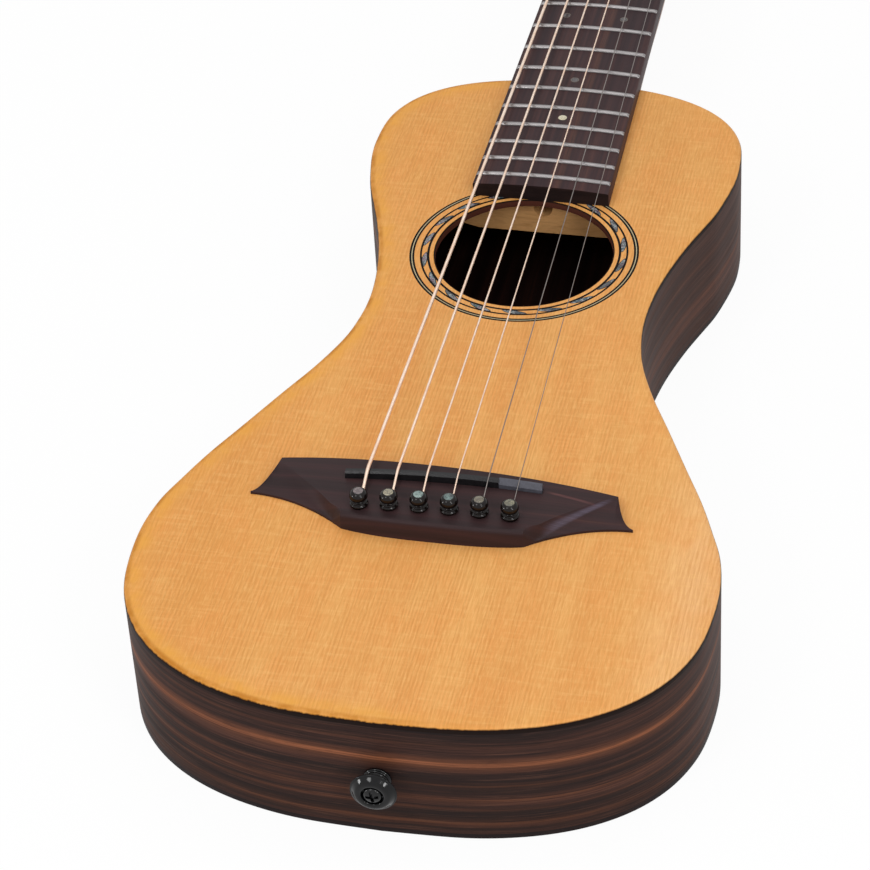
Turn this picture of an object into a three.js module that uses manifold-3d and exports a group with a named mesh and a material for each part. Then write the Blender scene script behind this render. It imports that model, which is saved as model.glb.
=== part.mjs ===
// Travel guitar lying on its back. Millimetres: X across to the treble side, Y towards the headstock,
// Z up out of the soundboard. The origin is on the back's underside, below the saddle line.
import * as THREE from 'three';
import { mergeVertices } from 'three/addons/utils/BufferGeometryUtils.js';
import Module from 'manifold-3d';

const wasm = await Module();
wasm.setup();

// Clearances
const fitGap = 0.3;
const turningGap = 0.2;
const overrun = 5;

// Scale, strings and frets
const scaleLength = 610;
const fretCount = 20;
const bodyFret = 14;
const semitones = 12;
const nutStringSpacing = 7;
const saddleStringSpacing = 11.05;
const firstStringDiameter = 0.3;
const secondStringDiameter = 0.41;
const thirdStringDiameter = 0.61;
const fourthStringDiameter = 0.81;
const fifthStringDiameter = 1.07;
const sixthStringDiameter = 1.35;
const plainStringCount = 2;
const stringDiameters = [
  firstStringDiameter, secondStringDiameter, thirdStringDiameter,
  fourthStringDiameter, fifthStringDiameter, sixthStringDiameter,
];
const stringTotal = stringDiameters.length;
const thickestString = Math.max(...stringDiameters);

// Body box
const bodyLength = 392.7;
const bodyDepth = 53;
const headEndPastFret = 1.8;
const lowerBoutWidth = 210.8;
const waistWidth = 109;
const upperBoutWidth = 152.6;
const lowerBoutFromTail = 81.2;
const waistFromTail = 232.2;
const upperBoutFromHead = 54.5;
const boutFullness = 2.5;
const soundboardThickness = 2.8;
const backThickness = 2.6;
const ribThickness = 2.2;
const edgeRounding = 1.6;
const liningWidth = 5;
const liningHeight = 10;
const tailBlockWidth = 62;
const tailBlockDepth = 18;
const neckBlockWidth = 64;
const neckBlockDepth = 39;

// Widths along the flanks, as shares: how far along from bout to waist, and how much of the drop is left
const lowerFlankShares = [
  [0.12, 0.955], [0.22, 0.853], [0.32, 0.735], [0.43, 0.582],
  [0.58, 0.375], [0.7, 0.206], [0.82, 0.073], [0.92, 0.015],
];
const upperFlankShares = [
  [0.1, 0.972], [0.21, 0.879], [0.31, 0.766], [0.41, 0.6], [0.51, 0.432],
  [0.6, 0.302], [0.7, 0.178], [0.79, 0.092], [0.89, 0.028],
];

// Sound hole and rosette
const soundHoleRadius = 35.4;
const innerRingWidth = 3.4;
const innerRingRadius = 38;
const outerRingWidth = 1.6;
const outerRingRadius = 44;
const inlayDepth = 1.5;

// Braces
const braceWidth = 6.5;
const braceHeight = 12;
const braceEndHeight = 4;
const braceFlatShare = 0.33;
const xBraceCrossShare = 0.543;
const xBraceTailReach = 38;
const xBracePastHoleEdge = 14;
const xBraceSlopeDegrees = 51.8;
const transverseBraceFromFingerboard = 4;
const transverseBraceThickness = 8;
const transverseBraceHeight = 16;
const transverseBraceFlat = 54;
const keyNotchRadius = 4;
const keyNotchDepth = 8;
const bridgePlateThickness = 2.5;
const bridgePlateWidth = 74;
const bridgePlateMargin = 8;
const backBraceUpperFromHole = 10;
const backBraceLowerFromBout = 6;

// Bridge, saddle and pins
const bridgeCornerSpan = 125.4;
const bridgeTipSpan = 140.6;
const bridgeBlockSpan = 66.6;
const bridgeFront = 5.3;
const bridgeFrontSlant = 3.1;
const bridgeRear = -27.3;
const bridgeBlockCornerY = -24.8;
const bridgeRidgeStartY = -26;
const bridgeRidgeEndY = 4;
const bridgeTipY = -11.1;
const bridgeTipWidth = 1.2;
const bridgeHeight = 8.2;
const bridgeCornerHeight = 3.5;
const bridgeEdgeRound = 1.5;
const bridgeShoulder = 4;
const wingThickness = 1;
const crownPower = 2.2;
const saddleLength = 72;
const saddleThickness = 2.6;
const saddleY = -2.5;
const saddleSlant = 2.2;
const saddleDepth = 5;
const saddleTop = 11.5;
const pinSpacing = 10.94;
const pinRowY = -18.5;
const pinRowSlant = 1.75;
const pinShankRadius = 2.5;
const pinTipRadius = 2.1;
const pinLength = 27;
const pinFlangeRadius = 3.4;
const pinHeadRadius = 3.3;
const pinHeadHeight = 6.3;
const pinFlangeHeight = 1;
const pinStringOffset = 2;
const rampDepth = 4.5;
const rampRun = 3.5;
const ballRadius = 2;
const ballHeight = 3;
const ballDrop = 3;

// Neck, fingerboard, nut and truss rod
const nutWidth = 43.6;
const widthAtLastFret = 55.8;
const fingerboardThickness = 7;
const fingerboardRadius = 340;
const fingerboardPastLastFret = 7;
const fingerboardPastHole = 0.2;
const fretHeight = 1;
const fretWidth = 2.2;
const fretTang = 0.5;
const fretInset = 0.3;
const nutThickness = 4.5;
const nutAboveBoard = 1.8;
const nutFloorAboveFret = 0.3;
const neckDepthAtNut = 13.5;
const neckDepthAtHeel = 16;
const heelLength = 58;
const heelCapHeight = 8;
const heelSweepPower = 3;
const heelPinchShare = 0.3;
const heelPinchPower = 1.5;
const trussRodRadius = 2.2;
const trussRodFromNut = 10;
const trussNutRadius = 3;
const trussNutLength = 10;
const trussSocketAcross = 3.4;
const trussSocketDepth = 6;

// Headstock and tuners
const headTiltDegrees = 12;
const headThickness = 12;
const veneerThickness = 1.7;
const headLowerWidth = 58;
const headUpperWidth = 66;
const headFlareLength = 26;
const headCrown = 7;
const throatLength = 26;
const throatDepth = 6;
const firstPostFromNut = 36;
const postSpacing = 38;
const postsPerSide = 3;
const lastPostToCrown = 27;
const postSpread = 42;
const postRadius = 3;
const postWaistRadius = 2.5;
const postHeight = 16;
const postWaistFrom = 6;
const postWaistTo = 12.5;
const windingTurns = 2;
const windingGap = 0.45;
const bushingRadius = 4.3;
const bushingFlangeRadius = 5.6;
const bushingFlangeHeight = 1.2;
const bushingLength = 8;
const plateThickness = 1;
const plateWidth = 16;
const plateEndMargin = 8;
const gearTeeth = 14;
const wormPitch = 2;
const gearThickness = 4;
const gearAddendum = 0.35;
const gearDedendum = 0.45;
const toothRootShare = 0.25;
const toothTipShare = 0.11;
const wormRootRadius = 2.1;
const wormTipRadius = 2.9;
const wormTurns = 3;
const meshGap = 0.25;
const wormShaftRadius = 1.5;
const lugThickness = 1.3;
const lugWidth = 7;
const knobClearance = 2.5;
const knobLength = 16;
const knobHalfWidth = 7.5;
const knobHalfThickness = 4;
const knobShaftEntry = 4;
const gearScrewHeight = 1.2;

// Strap button
const strapButtonOffset = 0.3;
const strapButtonRadius = 8.2;
const strapButtonBase = 5;
const strapButtonWaist = 3.8;
const strapButtonHeight = 8.2;
const strapScrewRadius = 2;
const strapScrewLength = 22;
const strapScrewHeadRadius = 3.4;
const strapScrewHeadHeight = 2.2;
const strapCrossWidth = 1;

// How finely round shapes are faceted
const outlineSteps = 32;
const ringSides = 36;
const roundSides = 10;
const stringSides = 5;
const turnSteps = 10;
const cornerSteps = 6;

// Finishes
const finish = (color, roughness, metalness = 0) =>
  new THREE.MeshStandardMaterial({ color, roughness, metalness });
const spruce = finish(0xe8aa62, 0.45);
const ebony = finish(0x3a2620, 0.4);
const rosewood = finish(0x33231f, 0.5);
const paleWood = finish(0xcfae7c, 0.7);
const mahogany = finish(0x7a4628, 0.45);
const abalone = finish(0x7f9a94, 0.25, 0.1);
const blackPlastic = finish(0x1a1a1b, 0.35);
const bronze = finish(0xd9a47c, 0.35, 1);
const steel = finish(0xb9bcc0, 0.3, 1);
const blackMetal = finish(0x161617, 0.3, 0.6);

// A closed mesh with shared vertices and its faces pointing out
function closed(geometry) {
  const bare = geometry.clone();
  bare.deleteAttribute('normal');
  bare.deleteAttribute('uv');
  const merged = mergeVertices(bare);
  const place = merged.attributes.position;
  const corner = (i) => new THREE.Vector3().fromBufferAttribute(place, i);
  const kept = [];
  let volume = 0;
  for (let i = 0; i < merged.index.count; i += 3) {
    const [a, b, c] = [0, 1, 2].map((step) => merged.index.getX(i + step));
    if (a === b || b === c || c === a) continue;
    kept.push(a, b, c);
    volume += corner(a).dot(corner(b).cross(corner(c)));
  }
  merged.setIndex(volume < 0 ? kept.reverse() : kept);
  merged.computeVertexNormals();
  return merged;
}

function solidOf(geometry) {
  const shell = closed(geometry);
  const mesh = new wasm.Mesh({
    numProp: 3,
    vertProperties: new Float32Array(shell.attributes.position.array),
    triVerts: new Uint32Array(shell.index.array),
  });
  return new wasm.Manifold(mesh);
}

function geometryOf(solid) {
  const { vertProperties, triVerts } = solid.getMesh();
  const geometry = new THREE.BufferGeometry();
  geometry.setAttribute('position', new THREE.BufferAttribute(vertProperties, 3));
  geometry.setIndex(new THREE.BufferAttribute(triVerts, 1));
  geometry.computeVertexNormals();
  return geometry;
}

const join = (first, ...others) =>
  geometryOf(others.reduce((sum, other) => sum.add(solidOf(other)), solidOf(first)));
const cut = (first, ...others) =>
  geometryOf(others.reduce((rest, other) => rest.subtract(solidOf(other)), solidOf(first)));
const within = (first, other) => geometryOf(solidOf(first).intersect(solidOf(other)));

// A skin over closed rings of points, one after another, with flat ends
function loft(rings) {
  const count = rings[0].length;
  const points = rings.flat();
  const indices = [];
  for (let r = 0; r < rings.length - 1; r++) {
    for (let i = 0; i < count; i++) {
      const a = r * count + i;
      const b = r * count + ((i + 1) % count);
      indices.push(a, b, b + count, a, b + count, a + count);
    }
  }
  const last = (rings.length - 1) * count;
  for (const [a, b, c] of capOf(rings[0])) indices.push(c, b, a);
  for (const [a, b, c] of capOf(rings[rings.length - 1])) indices.push(last + a, last + b, last + c);
  const geometry = new THREE.BufferGeometry().setFromPoints(points);
  geometry.setIndex(indices);
  return closed(geometry);
}

// Triangles over one flat ring, turning the same way as the ring
function capOf(ring) {
  const size = new THREE.Box3().setFromPoints(ring).getSize(new THREE.Vector3());
  const thin = ['x', 'y', 'z'].reduce((least, axis) => (size[axis] < size[least] ? axis : least), 'x');
  const [across, up] = ['x', 'y', 'z'].filter((axis) => axis !== thin);
  const flat = ring.map((point) => new THREE.Vector2(point[across], point[up]));
  const ringTurn = Math.sign(THREE.ShapeUtils.area(flat));
  return THREE.ShapeUtils.triangulateShape(flat, []).map((face) => {
    const faceTurn = Math.sign(THREE.ShapeUtils.area(face.map((i) => flat[i])));
    return faceTurn === ringTurn ? face : [...face].reverse();
  });
}

const spot = (x, y, z) => new THREE.Vector3(x, y, z);
const flatSpot = (x, y) => new THREE.Vector2(x, y);
const mix = THREE.MathUtils.lerp;
const radians = THREE.MathUtils.degToRad;

function slab(outline, low, high, holes = []) {
  const shape = new THREE.Shape(outline);
  shape.holes = holes.map((hole) => new THREE.Path(hole));
  return new THREE.ExtrudeGeometry(shape, { depth: high - low, bevelEnabled: false }).translate(0, 0, low);
}

// A box between two opposite corners
function block(low, high) {
  const size = high.clone().sub(low);
  const middle = low.clone().add(high).multiplyScalar(0.5);
  return new THREE.BoxGeometry(size.x, size.y, size.z).translate(middle.x, middle.y, middle.z);
}

// A turned solid about Z; the profile holds [radius, height] pairs from one end of the axis to the other
const turned = (profile, sides = roundSides) =>
  closed(new THREE.LatheGeometry(profile.map(([r, z]) => flatSpot(r, z)), sides).rotateX(Math.PI / 2));
const rod = (radius, low, high, sides = roundSides) =>
  turned([[0, low], [radius, low], [radius, high], [0, high]], sides);
const alongY = (geometry) => geometry.rotateX(-Math.PI / 2);
const alongX = (geometry) => geometry.rotateY(Math.PI / 2);

// An outline drawn in Y and Z, thickened along X from "from" onwards
function sideSlab(side, from, thickness) {
  const solid = new THREE.ExtrudeGeometry(new THREE.Shape(side), { depth: thickness, bevelEnabled: false });
  return solid.rotateX(Math.PI / 2).rotateZ(Math.PI / 2).translate(from, 0, 0);
}

const tube = (profile, sides) => turned([...profile, profile[0]], sides);

function circle(radius, x = 0, y = 0, sides = roundSides) {
  return Array.from({ length: sides }, (_, i) => {
    const angle = (i / sides) * Math.PI * 2;
    return flatSpot(x + radius * Math.cos(angle), y + radius * Math.sin(angle));
  });
}

// The flats of a faceted bore must clear the corners of the shaft that turns in it
const boreFor = (radius, gap = turningGap, sides = roundSides) => (radius + gap) / Math.cos(Math.PI / sides);

const guitar = new THREE.Group();
function add(name, geometry, material, parent = guitar) {
  const mesh = new THREE.Mesh(closed(geometry), material);
  mesh.name = name;
  parent.add(mesh);
  return mesh;
}

// Levels and places that several pieces share
const fretY = (fret) => scaleLength / 2 ** (fret / semitones);
const headEndY = fretY(bodyFret) + headEndPastFret;
const tailY = headEndY - bodyLength;
const lowerBoutY = tailY + lowerBoutFromTail;
const waistY = tailY + waistFromTail;
const upperBoutY = headEndY - upperBoutFromHead;
const lastFretY = fretY(fretCount);
const fingerboardEndY = lastFretY - fingerboardPastLastFret;
const soundHoleY = fingerboardEndY - fingerboardPastHole - soundHoleRadius;
const soundHoleTailEdge = soundHoleY - soundHoleRadius;
const soundboardUnder = bodyDepth - soundboardThickness;
const insideLiningInset = ribThickness + fitGap + liningWidth + fitGap;

// Body outline
function halfOutlinePoints() {
  const lowerHalf = lowerBoutWidth / 2;
  const waistHalf = waistWidth / 2;
  const upperHalf = upperBoutWidth / 2;
  const steps = 8;
  const rounded = (step) => Math.sin((step / steps) * (Math.PI / 2)) ** (2 / boutFullness);
  const points = [];
  for (let k = 0; k <= steps; k++) {
    points.push(flatSpot(lowerHalf * rounded(k), lowerBoutY - lowerBoutFromTail * rounded(steps - k)));
  }
  for (const [along, left] of lowerFlankShares) {
    points.push(flatSpot(mix(waistHalf, lowerHalf, left), mix(lowerBoutY, waistY, along)));
  }
  points.push(flatSpot(waistHalf, waistY));
  for (const [along, left] of [...upperFlankShares].reverse()) {
    points.push(flatSpot(mix(waistHalf, upperHalf, left), mix(upperBoutY, waistY, along)));
  }
  for (let k = steps; k >= 0; k--) {
    points.push(flatSpot(upperHalf * rounded(k), upperBoutY + upperBoutFromHead * rounded(steps - k)));
  }
  return points;
}

const halfOutline = new THREE.SplineCurve(halfOutlinePoints()).getSpacedPoints(outlineSteps);
halfOutline[0].x = 0;
halfOutline[outlineSteps].x = 0;
const mirrored = (point) => flatSpot(-point.x, point.y);

// The treble half of the outline, moved inwards, from the tail to the neck
function insetHalf(distance) {
  return halfOutline.map((point, i) => {
    const before = halfOutline[i - 1] ?? mirrored(halfOutline[1]);
    const after = halfOutline[i + 1] ?? mirrored(halfOutline[outlineSteps - 1]);
    const along = after.clone().sub(before).normalize();
    return flatSpot(point.x - along.y * distance, point.y + along.x * distance);
  });
}

function outline(inset = 0) {
  const half = insetHalf(inset);
  return [...half, ...half.slice(1, -1).reverse().map(mirrored)];
}

const bodyPrism = (inset) => slab(outline(inset), -overrun, bodyDepth + overrun);
const ringAt = (inset, z) => outline(inset).map((point) => spot(point.x, point.y, z));

// Sound hole, rosette, pins and saddle places
const pinX = (n) => (stringTotal / 2 + 0.5 - n) * pinSpacing;
const alongRow = (n) => (stringTotal + 1 - 2 * n) / (2 * (stringTotal - 1));
const pinY = (n) => pinRowY + pinRowSlant * alongRow(n);
const saddleX = (n) => (stringTotal / 2 + 0.5 - n) * saddleStringSpacing;
const nutX = (n) => (stringTotal / 2 + 0.5 - n) * nutStringSpacing;
const saddleAngle = Math.atan2(saddleSlant, saddleLength);
const bridgeTopAt = (x) =>
  mix(bridgeHeight, bridgeCornerHeight, Math.min(1, Math.abs(2 * x / bridgeCornerSpan)) ** crownPower);
const pinSeat = (n) => bodyDepth + bridgeTopAt(Math.max(0, Math.abs(pinX(n)) - pinFlangeRadius)) + fitGap;
const pinHoleRadius = pinStringOffset + thickestString / 2 + fitGap;
const pinHole = (n, sides = roundSides) => circle(pinHoleRadius, pinX(n), pinY(n), sides);
const stringNumbers = stringDiameters.map((_, i) => i + 1);

function ringSlab(inner, width, low, high, gap = 0) {
  const outer = circle(inner + width + gap, 0, soundHoleY, ringSides);
  return slab(outer, low, high, [circle(inner - gap, 0, soundHoleY, ringSides)]);
}

// Soundboard, back and rosette
function addPlates() {
  const roundShares = [[0, 0], [0.6, 0.2], [1, 1]];
  const rings = [ringAt(0, soundboardUnder)];
  for (const [up, inward] of roundShares) {
    rings.push(ringAt(edgeRounding * inward, bodyDepth - edgeRounding * (1 - up)));
  }
  const soundHole = slab(circle(soundHoleRadius, 0, soundHoleY, ringSides), 0, bodyDepth + overrun);
  const inlayFloor = bodyDepth - inlayDepth;
  const pinHoles = stringNumbers.map((n) => slab(pinHole(n), 0, bodyDepth + overrun));
  add('soundboard', cut(
    loft(rings),
    soundHole,
    ringSlab(innerRingRadius, innerRingWidth, inlayFloor, bodyDepth + overrun, fitGap),
    ringSlab(outerRingRadius, outerRingWidth, inlayFloor, bodyDepth + overrun, fitGap),
    ...pinHoles,
  ), spruce);
  add('rosette_inner_ring', ringSlab(innerRingRadius, innerRingWidth, inlayFloor, bodyDepth), abalone);
  add('rosette_outer_ring', ringSlab(outerRingRadius, outerRingWidth, inlayFloor, bodyDepth), blackPlastic);
  const backRound = edgeRounding / 2;
  const backRings = [ringAt(backRound, 0), ringAt(0, backRound), ringAt(0, backThickness)];
  add('back', loft(backRings), ebony);
}

// The truss rod lies under the soundboard and in a channel of the neck
const rodZ = soundboardUnder - fitGap - trussNutRadius;
const rodChannel = block(
  spot(-trussRodRadius - fitGap, 0, rodZ - trussRodRadius - fitGap),
  spot(trussRodRadius + fitGap, scaleLength - trussRodFromNut + fitGap, bodyDepth + overrun),
);
const alongRod = (radius, from, to) => alongY(rod(radius, from, to)).translate(0, 0, rodZ);
const strapY = tailY - fitGap;
const strapZ = bodyDepth / 2;
const strapHole = alongY(rod(strapScrewRadius + fitGap, -overrun * 2, strapScrewLength))
  .translate(strapButtonOffset, strapY, strapZ);

// Ribs, linings and end blocks
function addRim() {
  const seam = fitGap / 2;
  const strip = (from, to, low, high, side) => {
    const outer = insetHalf(from);
    const inner = insetHalf(to).reverse();
    const shape = [...outer, ...inner].map((point) => flatSpot(Math.max(point.x, seam) * side, point.y));
    return slab(shape, low, high);
  };
  const tailBlockBox = block(
    spot(-tailBlockWidth / 2, tailY - overrun, backThickness),
    spot(tailBlockWidth / 2, tailY + ribThickness + tailBlockDepth, soundboardUnder),
  );
  const neckBlockBox = block(
    spot(-neckBlockWidth / 2, headEndY - ribThickness - neckBlockDepth, backThickness),
    spot(neckBlockWidth / 2, headEndY + overrun, soundboardUnder),
  );
  const insideRibs = bodyPrism(ribThickness + fitGap);
  add('tail_block', cut(within(tailBlockBox, insideRibs), strapHole), paleWood);
  add('neck_block', cut(within(neckBlockBox, insideRibs), rodChannel), paleWood);

  const blockRoom = (width, low, high) => block(
    spot(-width / 2 - fitGap, low, -overrun),
    spot(width / 2 + fitGap, high, bodyDepth + overrun),
  );
  const tailRoom = blockRoom(tailBlockWidth, tailY - overrun, lowerBoutY);
  const neckRoom = blockRoom(neckBlockWidth, upperBoutY, headEndY + overrun);
  const liningFrom = ribThickness + fitGap;
  for (const [sideName, side] of [['bass', -1], ['treble', 1]]) {
    const rib = strip(0, ribThickness, backThickness, soundboardUnder, side);
    add(`side_${sideName}`, cut(rib, rodChannel, strapHole), ebony);
    const lining = (low, high) =>
      cut(strip(liningFrom, liningFrom + liningWidth, low, high, side), tailRoom, neckRoom);
    add(`lining_top_${sideName}`, lining(soundboardUnder - liningHeight, soundboardUnder), paleWood);
    add(`lining_back_${sideName}`, lining(backThickness, backThickness + liningHeight), paleWood);
  }
}

// A bar with tapered ends along X, from the level "seat" upwards, or downwards where down is -1
function bar(length, flat, thickness, height, endHeight, seat, down) {
  const profile = [
    flatSpot(-length / 2, seat), flatSpot(length / 2, seat),
    flatSpot(length / 2, seat + down * endHeight), flatSpot(flat / 2, seat + down * height),
    flatSpot(-flat / 2, seat + down * height), flatSpot(-length / 2, seat + down * endHeight),
  ];
  const shape = new THREE.Shape(profile);
  const solid = new THREE.ExtrudeGeometry(shape, { depth: thickness, bevelEnabled: false });
  return solid.rotateX(Math.PI / 2).translate(0, thickness / 2, 0);
}

const transverseBraceY = fingerboardEndY + transverseBraceFromFingerboard + transverseBraceThickness / 2;
const plateUnder = soundboardUnder - bridgePlateThickness;

function addBraces() {
  const inside = bodyPrism(insideLiningInset);
  const longBar = (length, seat, down) =>
    bar(length, length * braceFlatShare, braceWidth, braceHeight, braceEndHeight, seat, down);

  const halfway = soundboardUnder - braceHeight / 2;
  const halving = (low, high) => block(
    spot(-braceWidth, -braceWidth / 2 - fitGap, low),
    spot(braceWidth, braceWidth / 2 + fitGap, high),
  );
  const lowerHalving = halving(0, halfway + fitGap / 2);
  const upperHalving = halving(halfway - fitGap / 2, bodyDepth);
  const crossAngle = 2 * radians(xBraceSlopeDegrees);
  for (const [name, side] of [['x_brace_bass', 1], ['x_brace_treble', -1]]) {
    const notch = (side < 0 ? lowerHalving : upperHalving).rotateZ(-side * crossAngle);
    const brace = cut(longBar(2 * bodyLength, soundboardUnder, -1), notch);
    const crossing = soundHoleTailEdge * xBraceCrossShare;
    const placed = brace.rotateZ(side * radians(xBraceSlopeDegrees)).translate(0, crossing, 0);
    const reach = block(
      spot(-lowerBoutWidth, -xBraceTailReach, 0),
      spot(lowerBoutWidth, soundHoleTailEdge + xBracePastHoleEdge, bodyDepth),
    );
    add(name, within(within(placed, reach), inside), paleWood);
  }

  const transverse = bar(
    upperBoutWidth, transverseBraceFlat, transverseBraceThickness,
    transverseBraceHeight, braceEndHeight, soundboardUnder, -1,
  ).translate(0, transverseBraceY, 0);
  const notchLength = transverseBraceThickness / 2 + overrun;
  const notchMiddle = soundboardUnder - keyNotchDepth + keyNotchRadius;
  const notchFloor = alongY(rod(keyNotchRadius, -notchLength, notchLength))
    .translate(0, transverseBraceY, notchMiddle);
  const notchMouth = block(
    spot(-keyNotchRadius, transverseBraceY - notchLength, notchMiddle),
    spot(keyNotchRadius, transverseBraceY + notchLength, bodyDepth),
  );
  add('transverse_brace', within(cut(transverse, notchFloor, notchMouth), inside), paleWood);

  const backBars = {
    back_brace_upper: soundHoleY + backBraceUpperFromHole,
    back_brace_lower: lowerBoutY - backBraceLowerFromBout,
  };
  for (const [name, y] of Object.entries(backBars)) {
    add(name, within(longBar(lowerBoutWidth, backThickness, 1).translate(0, y, 0), inside), paleWood);
  }

  const plateHalf = bridgePlateWidth / 2;
  const plateOutline = [
    flatSpot(-plateHalf, pinRowY - bridgePlateMargin), flatSpot(plateHalf, pinRowY - bridgePlateMargin),
    flatSpot(plateHalf, pinRowY + bridgePlateMargin), flatSpot(-plateHalf, pinRowY + bridgePlateMargin),
  ];
  const holes = stringNumbers.map((n) => pinHole(n));
  add('bridge_plate', slab(plateOutline, plateUnder, soundboardUnder, holes), rosewood);
}

// Bridge: a crowned block with a bowed rear and ridges that run out over thin hollowed wings
function bridgeSection(x) {
  const cornerHalf = bridgeCornerSpan / 2;
  const tipHalf = bridgeTipSpan / 2;
  const blockHalf = bridgeBlockSpan / 2;
  const between = (from, to) => THREE.MathUtils.clamp((Math.abs(x) - from) / (to - from), 0, 1);
  const bow = between(0, blockHalf);
  const wing = between(blockHalf, tipHalf);
  const horn = between(cornerHalf, tipHalf);
  const ridge = between(blockHalf, cornerHalf);
  const hollow = between(blockHalf, blockHalf + bridgeShoulder);
  const bowPower = 3;
  const sweepPower = 2;
  const hornPower = 2.2;
  const ridgePower = 0.82;
  const top = mix(bridgeTopAt(x), wingThickness, horn);
  const edge = mix(top - bridgeEdgeRound, wingThickness, hollow);
  const frontEdge = bridgeFront - bridgeFrontSlant * x / bridgeCornerSpan;
  const front = mix(bridgeTipY + bridgeTipWidth, frontEdge, (1 - horn) ** hornPower);
  const bowed = mix(bridgeRear, bridgeBlockCornerY, bow ** bowPower);
  const rear = mix(bridgeTipY, bowed, (1 - wing) ** sweepPower);
  const ridgeY = mix(bridgeRidgeStartY, bridgeRidgeEndY, ridge ** ridgePower);
  const crest = Math.min(front, Math.max(rear + bridgeEdgeRound, ridgeY));
  const hollowShares = [[0.75, 0.45], [0.4, 0.12], [0, 0]];
  const points = [
    spot(x, rear, bodyDepth),
    spot(x, front, bodyDepth),
    spot(x, front, bodyDepth + top),
    spot(x, crest, bodyDepth + top),
  ];
  for (const [back, height] of hollowShares) {
    const rounded = 1 - (1 - back) ** 2;
    const lift = mix(edge, top, mix(rounded, height, hollow));
    points.push(spot(x, mix(rear, crest, back), bodyDepth + lift));
  }
  return points;
}

function addBridge() {
  const stationShares = [
    0, 0.12, 0.24, 0.34, 0.42, 0.474, 0.49, 0.51, 0.531, 0.58,
    0.64, 0.71, 0.78, 0.86, 0.892, 0.905, 0.93, 0.96, 1,
  ];
  const right = stationShares.map((share) => share * bridgeTipSpan / 2);
  const stations = [...right.slice(1).reverse().map((x) => -x), ...right];
  const body = loft(stations.map(bridgeSection));
  const slotFloor = bodyDepth + bridgeHeight - saddleDepth;
  const slot = block(
    spot(-saddleLength / 2 - fitGap, -saddleThickness / 2 - fitGap, slotFloor),
    spot(saddleLength / 2 + fitGap, saddleThickness / 2 + fitGap, bodyDepth + saddleTop + overrun),
  ).rotateZ(saddleAngle).translate(0, saddleY, 0);
  const holes = stringNumbers.map((n) => slab(pinHole(n), 0, bodyDepth + saddleTop + overrun));
  add('bridge', cut(body, slot, ...holes, ...stringNumbers.map(stringRamp)), rosewood);

  const crownSteps = 8;
  const crown = Array.from({ length: crownSteps + 1 }, (_, i) => {
    const x = mix(saddleLength / 2, -saddleLength / 2, i / crownSteps);
    return flatSpot(x, bodyDepth + saddleTop - x * x / (2 * fingerboardRadius));
  });
  const floor = slotFloor + fitGap;
  const side = [flatSpot(-saddleLength / 2, floor), flatSpot(saddleLength / 2, floor), ...crown];
  const saddle = new THREE.ExtrudeGeometry(
    new THREE.Shape(side), { depth: saddleThickness, bevelEnabled: false },
  ).rotateX(Math.PI / 2).translate(0, saddleThickness / 2, 0);
  add('saddle', saddle.rotateZ(saddleAngle).translate(0, saddleY, 0), blackPlastic);
}

// The slot that leads a string from its hole up towards the saddle
function stringRamp(n) {
  const top = bodyDepth + bridgeTopAt(pinX(n));
  const room = thickestString / 2 + fitGap;
  const side = [
    flatSpot(pinY(n), top - rampDepth - 2 * room),
    flatSpot(pinY(n) + pinStringOffset + room, top - rampDepth - 2 * room),
    flatSpot(pinY(n) + pinStringOffset + rampRun + 2 * room, top + room),
    flatSpot(pinY(n), top + room),
  ];
  return sideSlab(side, pinX(n) - room, 2 * room);
}

function addPins() {
  const headShares = [
    [0.82, 0.22], [0.72, 0.26], [0.97, 0.45], [1, 0.6], [0.9, 0.82], [0.62, 0.96], [0, 1],
  ];
  for (const n of stringNumbers) {
    const seat = pinSeat(n);
    const profile = [
      [0, seat - pinLength], [pinTipRadius, seat - pinLength],
      [pinShankRadius, seat], [pinFlangeRadius, seat], [pinFlangeRadius, seat + pinFlangeHeight],
      ...headShares.map(([out, up]) => [out * pinHeadRadius, seat + up * pinHeadHeight]),
    ];
    const room = thickestString / 2 + fitGap;
    const flute = block(
      spot(-room, pinStringOffset - room, seat - pinLength - overrun),
      spot(room, pinShankRadius + overrun, seat),
    );
    const pin = cut(turned(profile), flute).translate(pinX(n), pinY(n), 0);
    add(`bridge_pin_${n}`, pin, blackPlastic);
  }
}

// Fingerboard
const boardWidth = (y) => mix(nutWidth, widthAtLastFret, (scaleLength - y) / (scaleLength - lastFretY));
const boardTop = (x) => bodyDepth + fingerboardThickness - x * x / (2 * fingerboardRadius);
const acrossShares = [-1, -0.5, 0, 0.5, 1];

function boardSection(y) {
  const half = boardWidth(y) / 2;
  const top = acrossShares.map((share) => spot(-share * half, y, boardTop(share * half)));
  return [spot(-half, y, bodyDepth), spot(half, y, bodyDepth), ...top];
}

function fretWire(y) {
  const half = boardWidth(y) / 2;
  const crownShare = 0.45;
  return loft(acrossShares.map((share) => {
    const x = share * half;
    const inward = Math.abs(share) === 1 ? Math.sign(share) * fretInset : 0;
    const base = boardTop(x) - fretTang;
    const crest = boardTop(x) + fretHeight;
    const crown = fretWidth / 2 * crownShare;
    return [
      spot(x - inward, y - fretWidth / 2, base), spot(x - inward, y + fretWidth / 2, base),
      spot(x - 2 * inward, y + crown, crest), spot(x - 2 * inward, y - crown, crest),
    ];
  }));
}

const nutBackY = scaleLength + fitGap + nutThickness;
const stringZ = {
  saddle: (n) => bodyDepth + saddleTop - saddleX(n) ** 2 / (2 * fingerboardRadius),
  nut: (n) => boardTop(nutX(n)) + fretHeight + nutFloorAboveFret,
};

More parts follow.
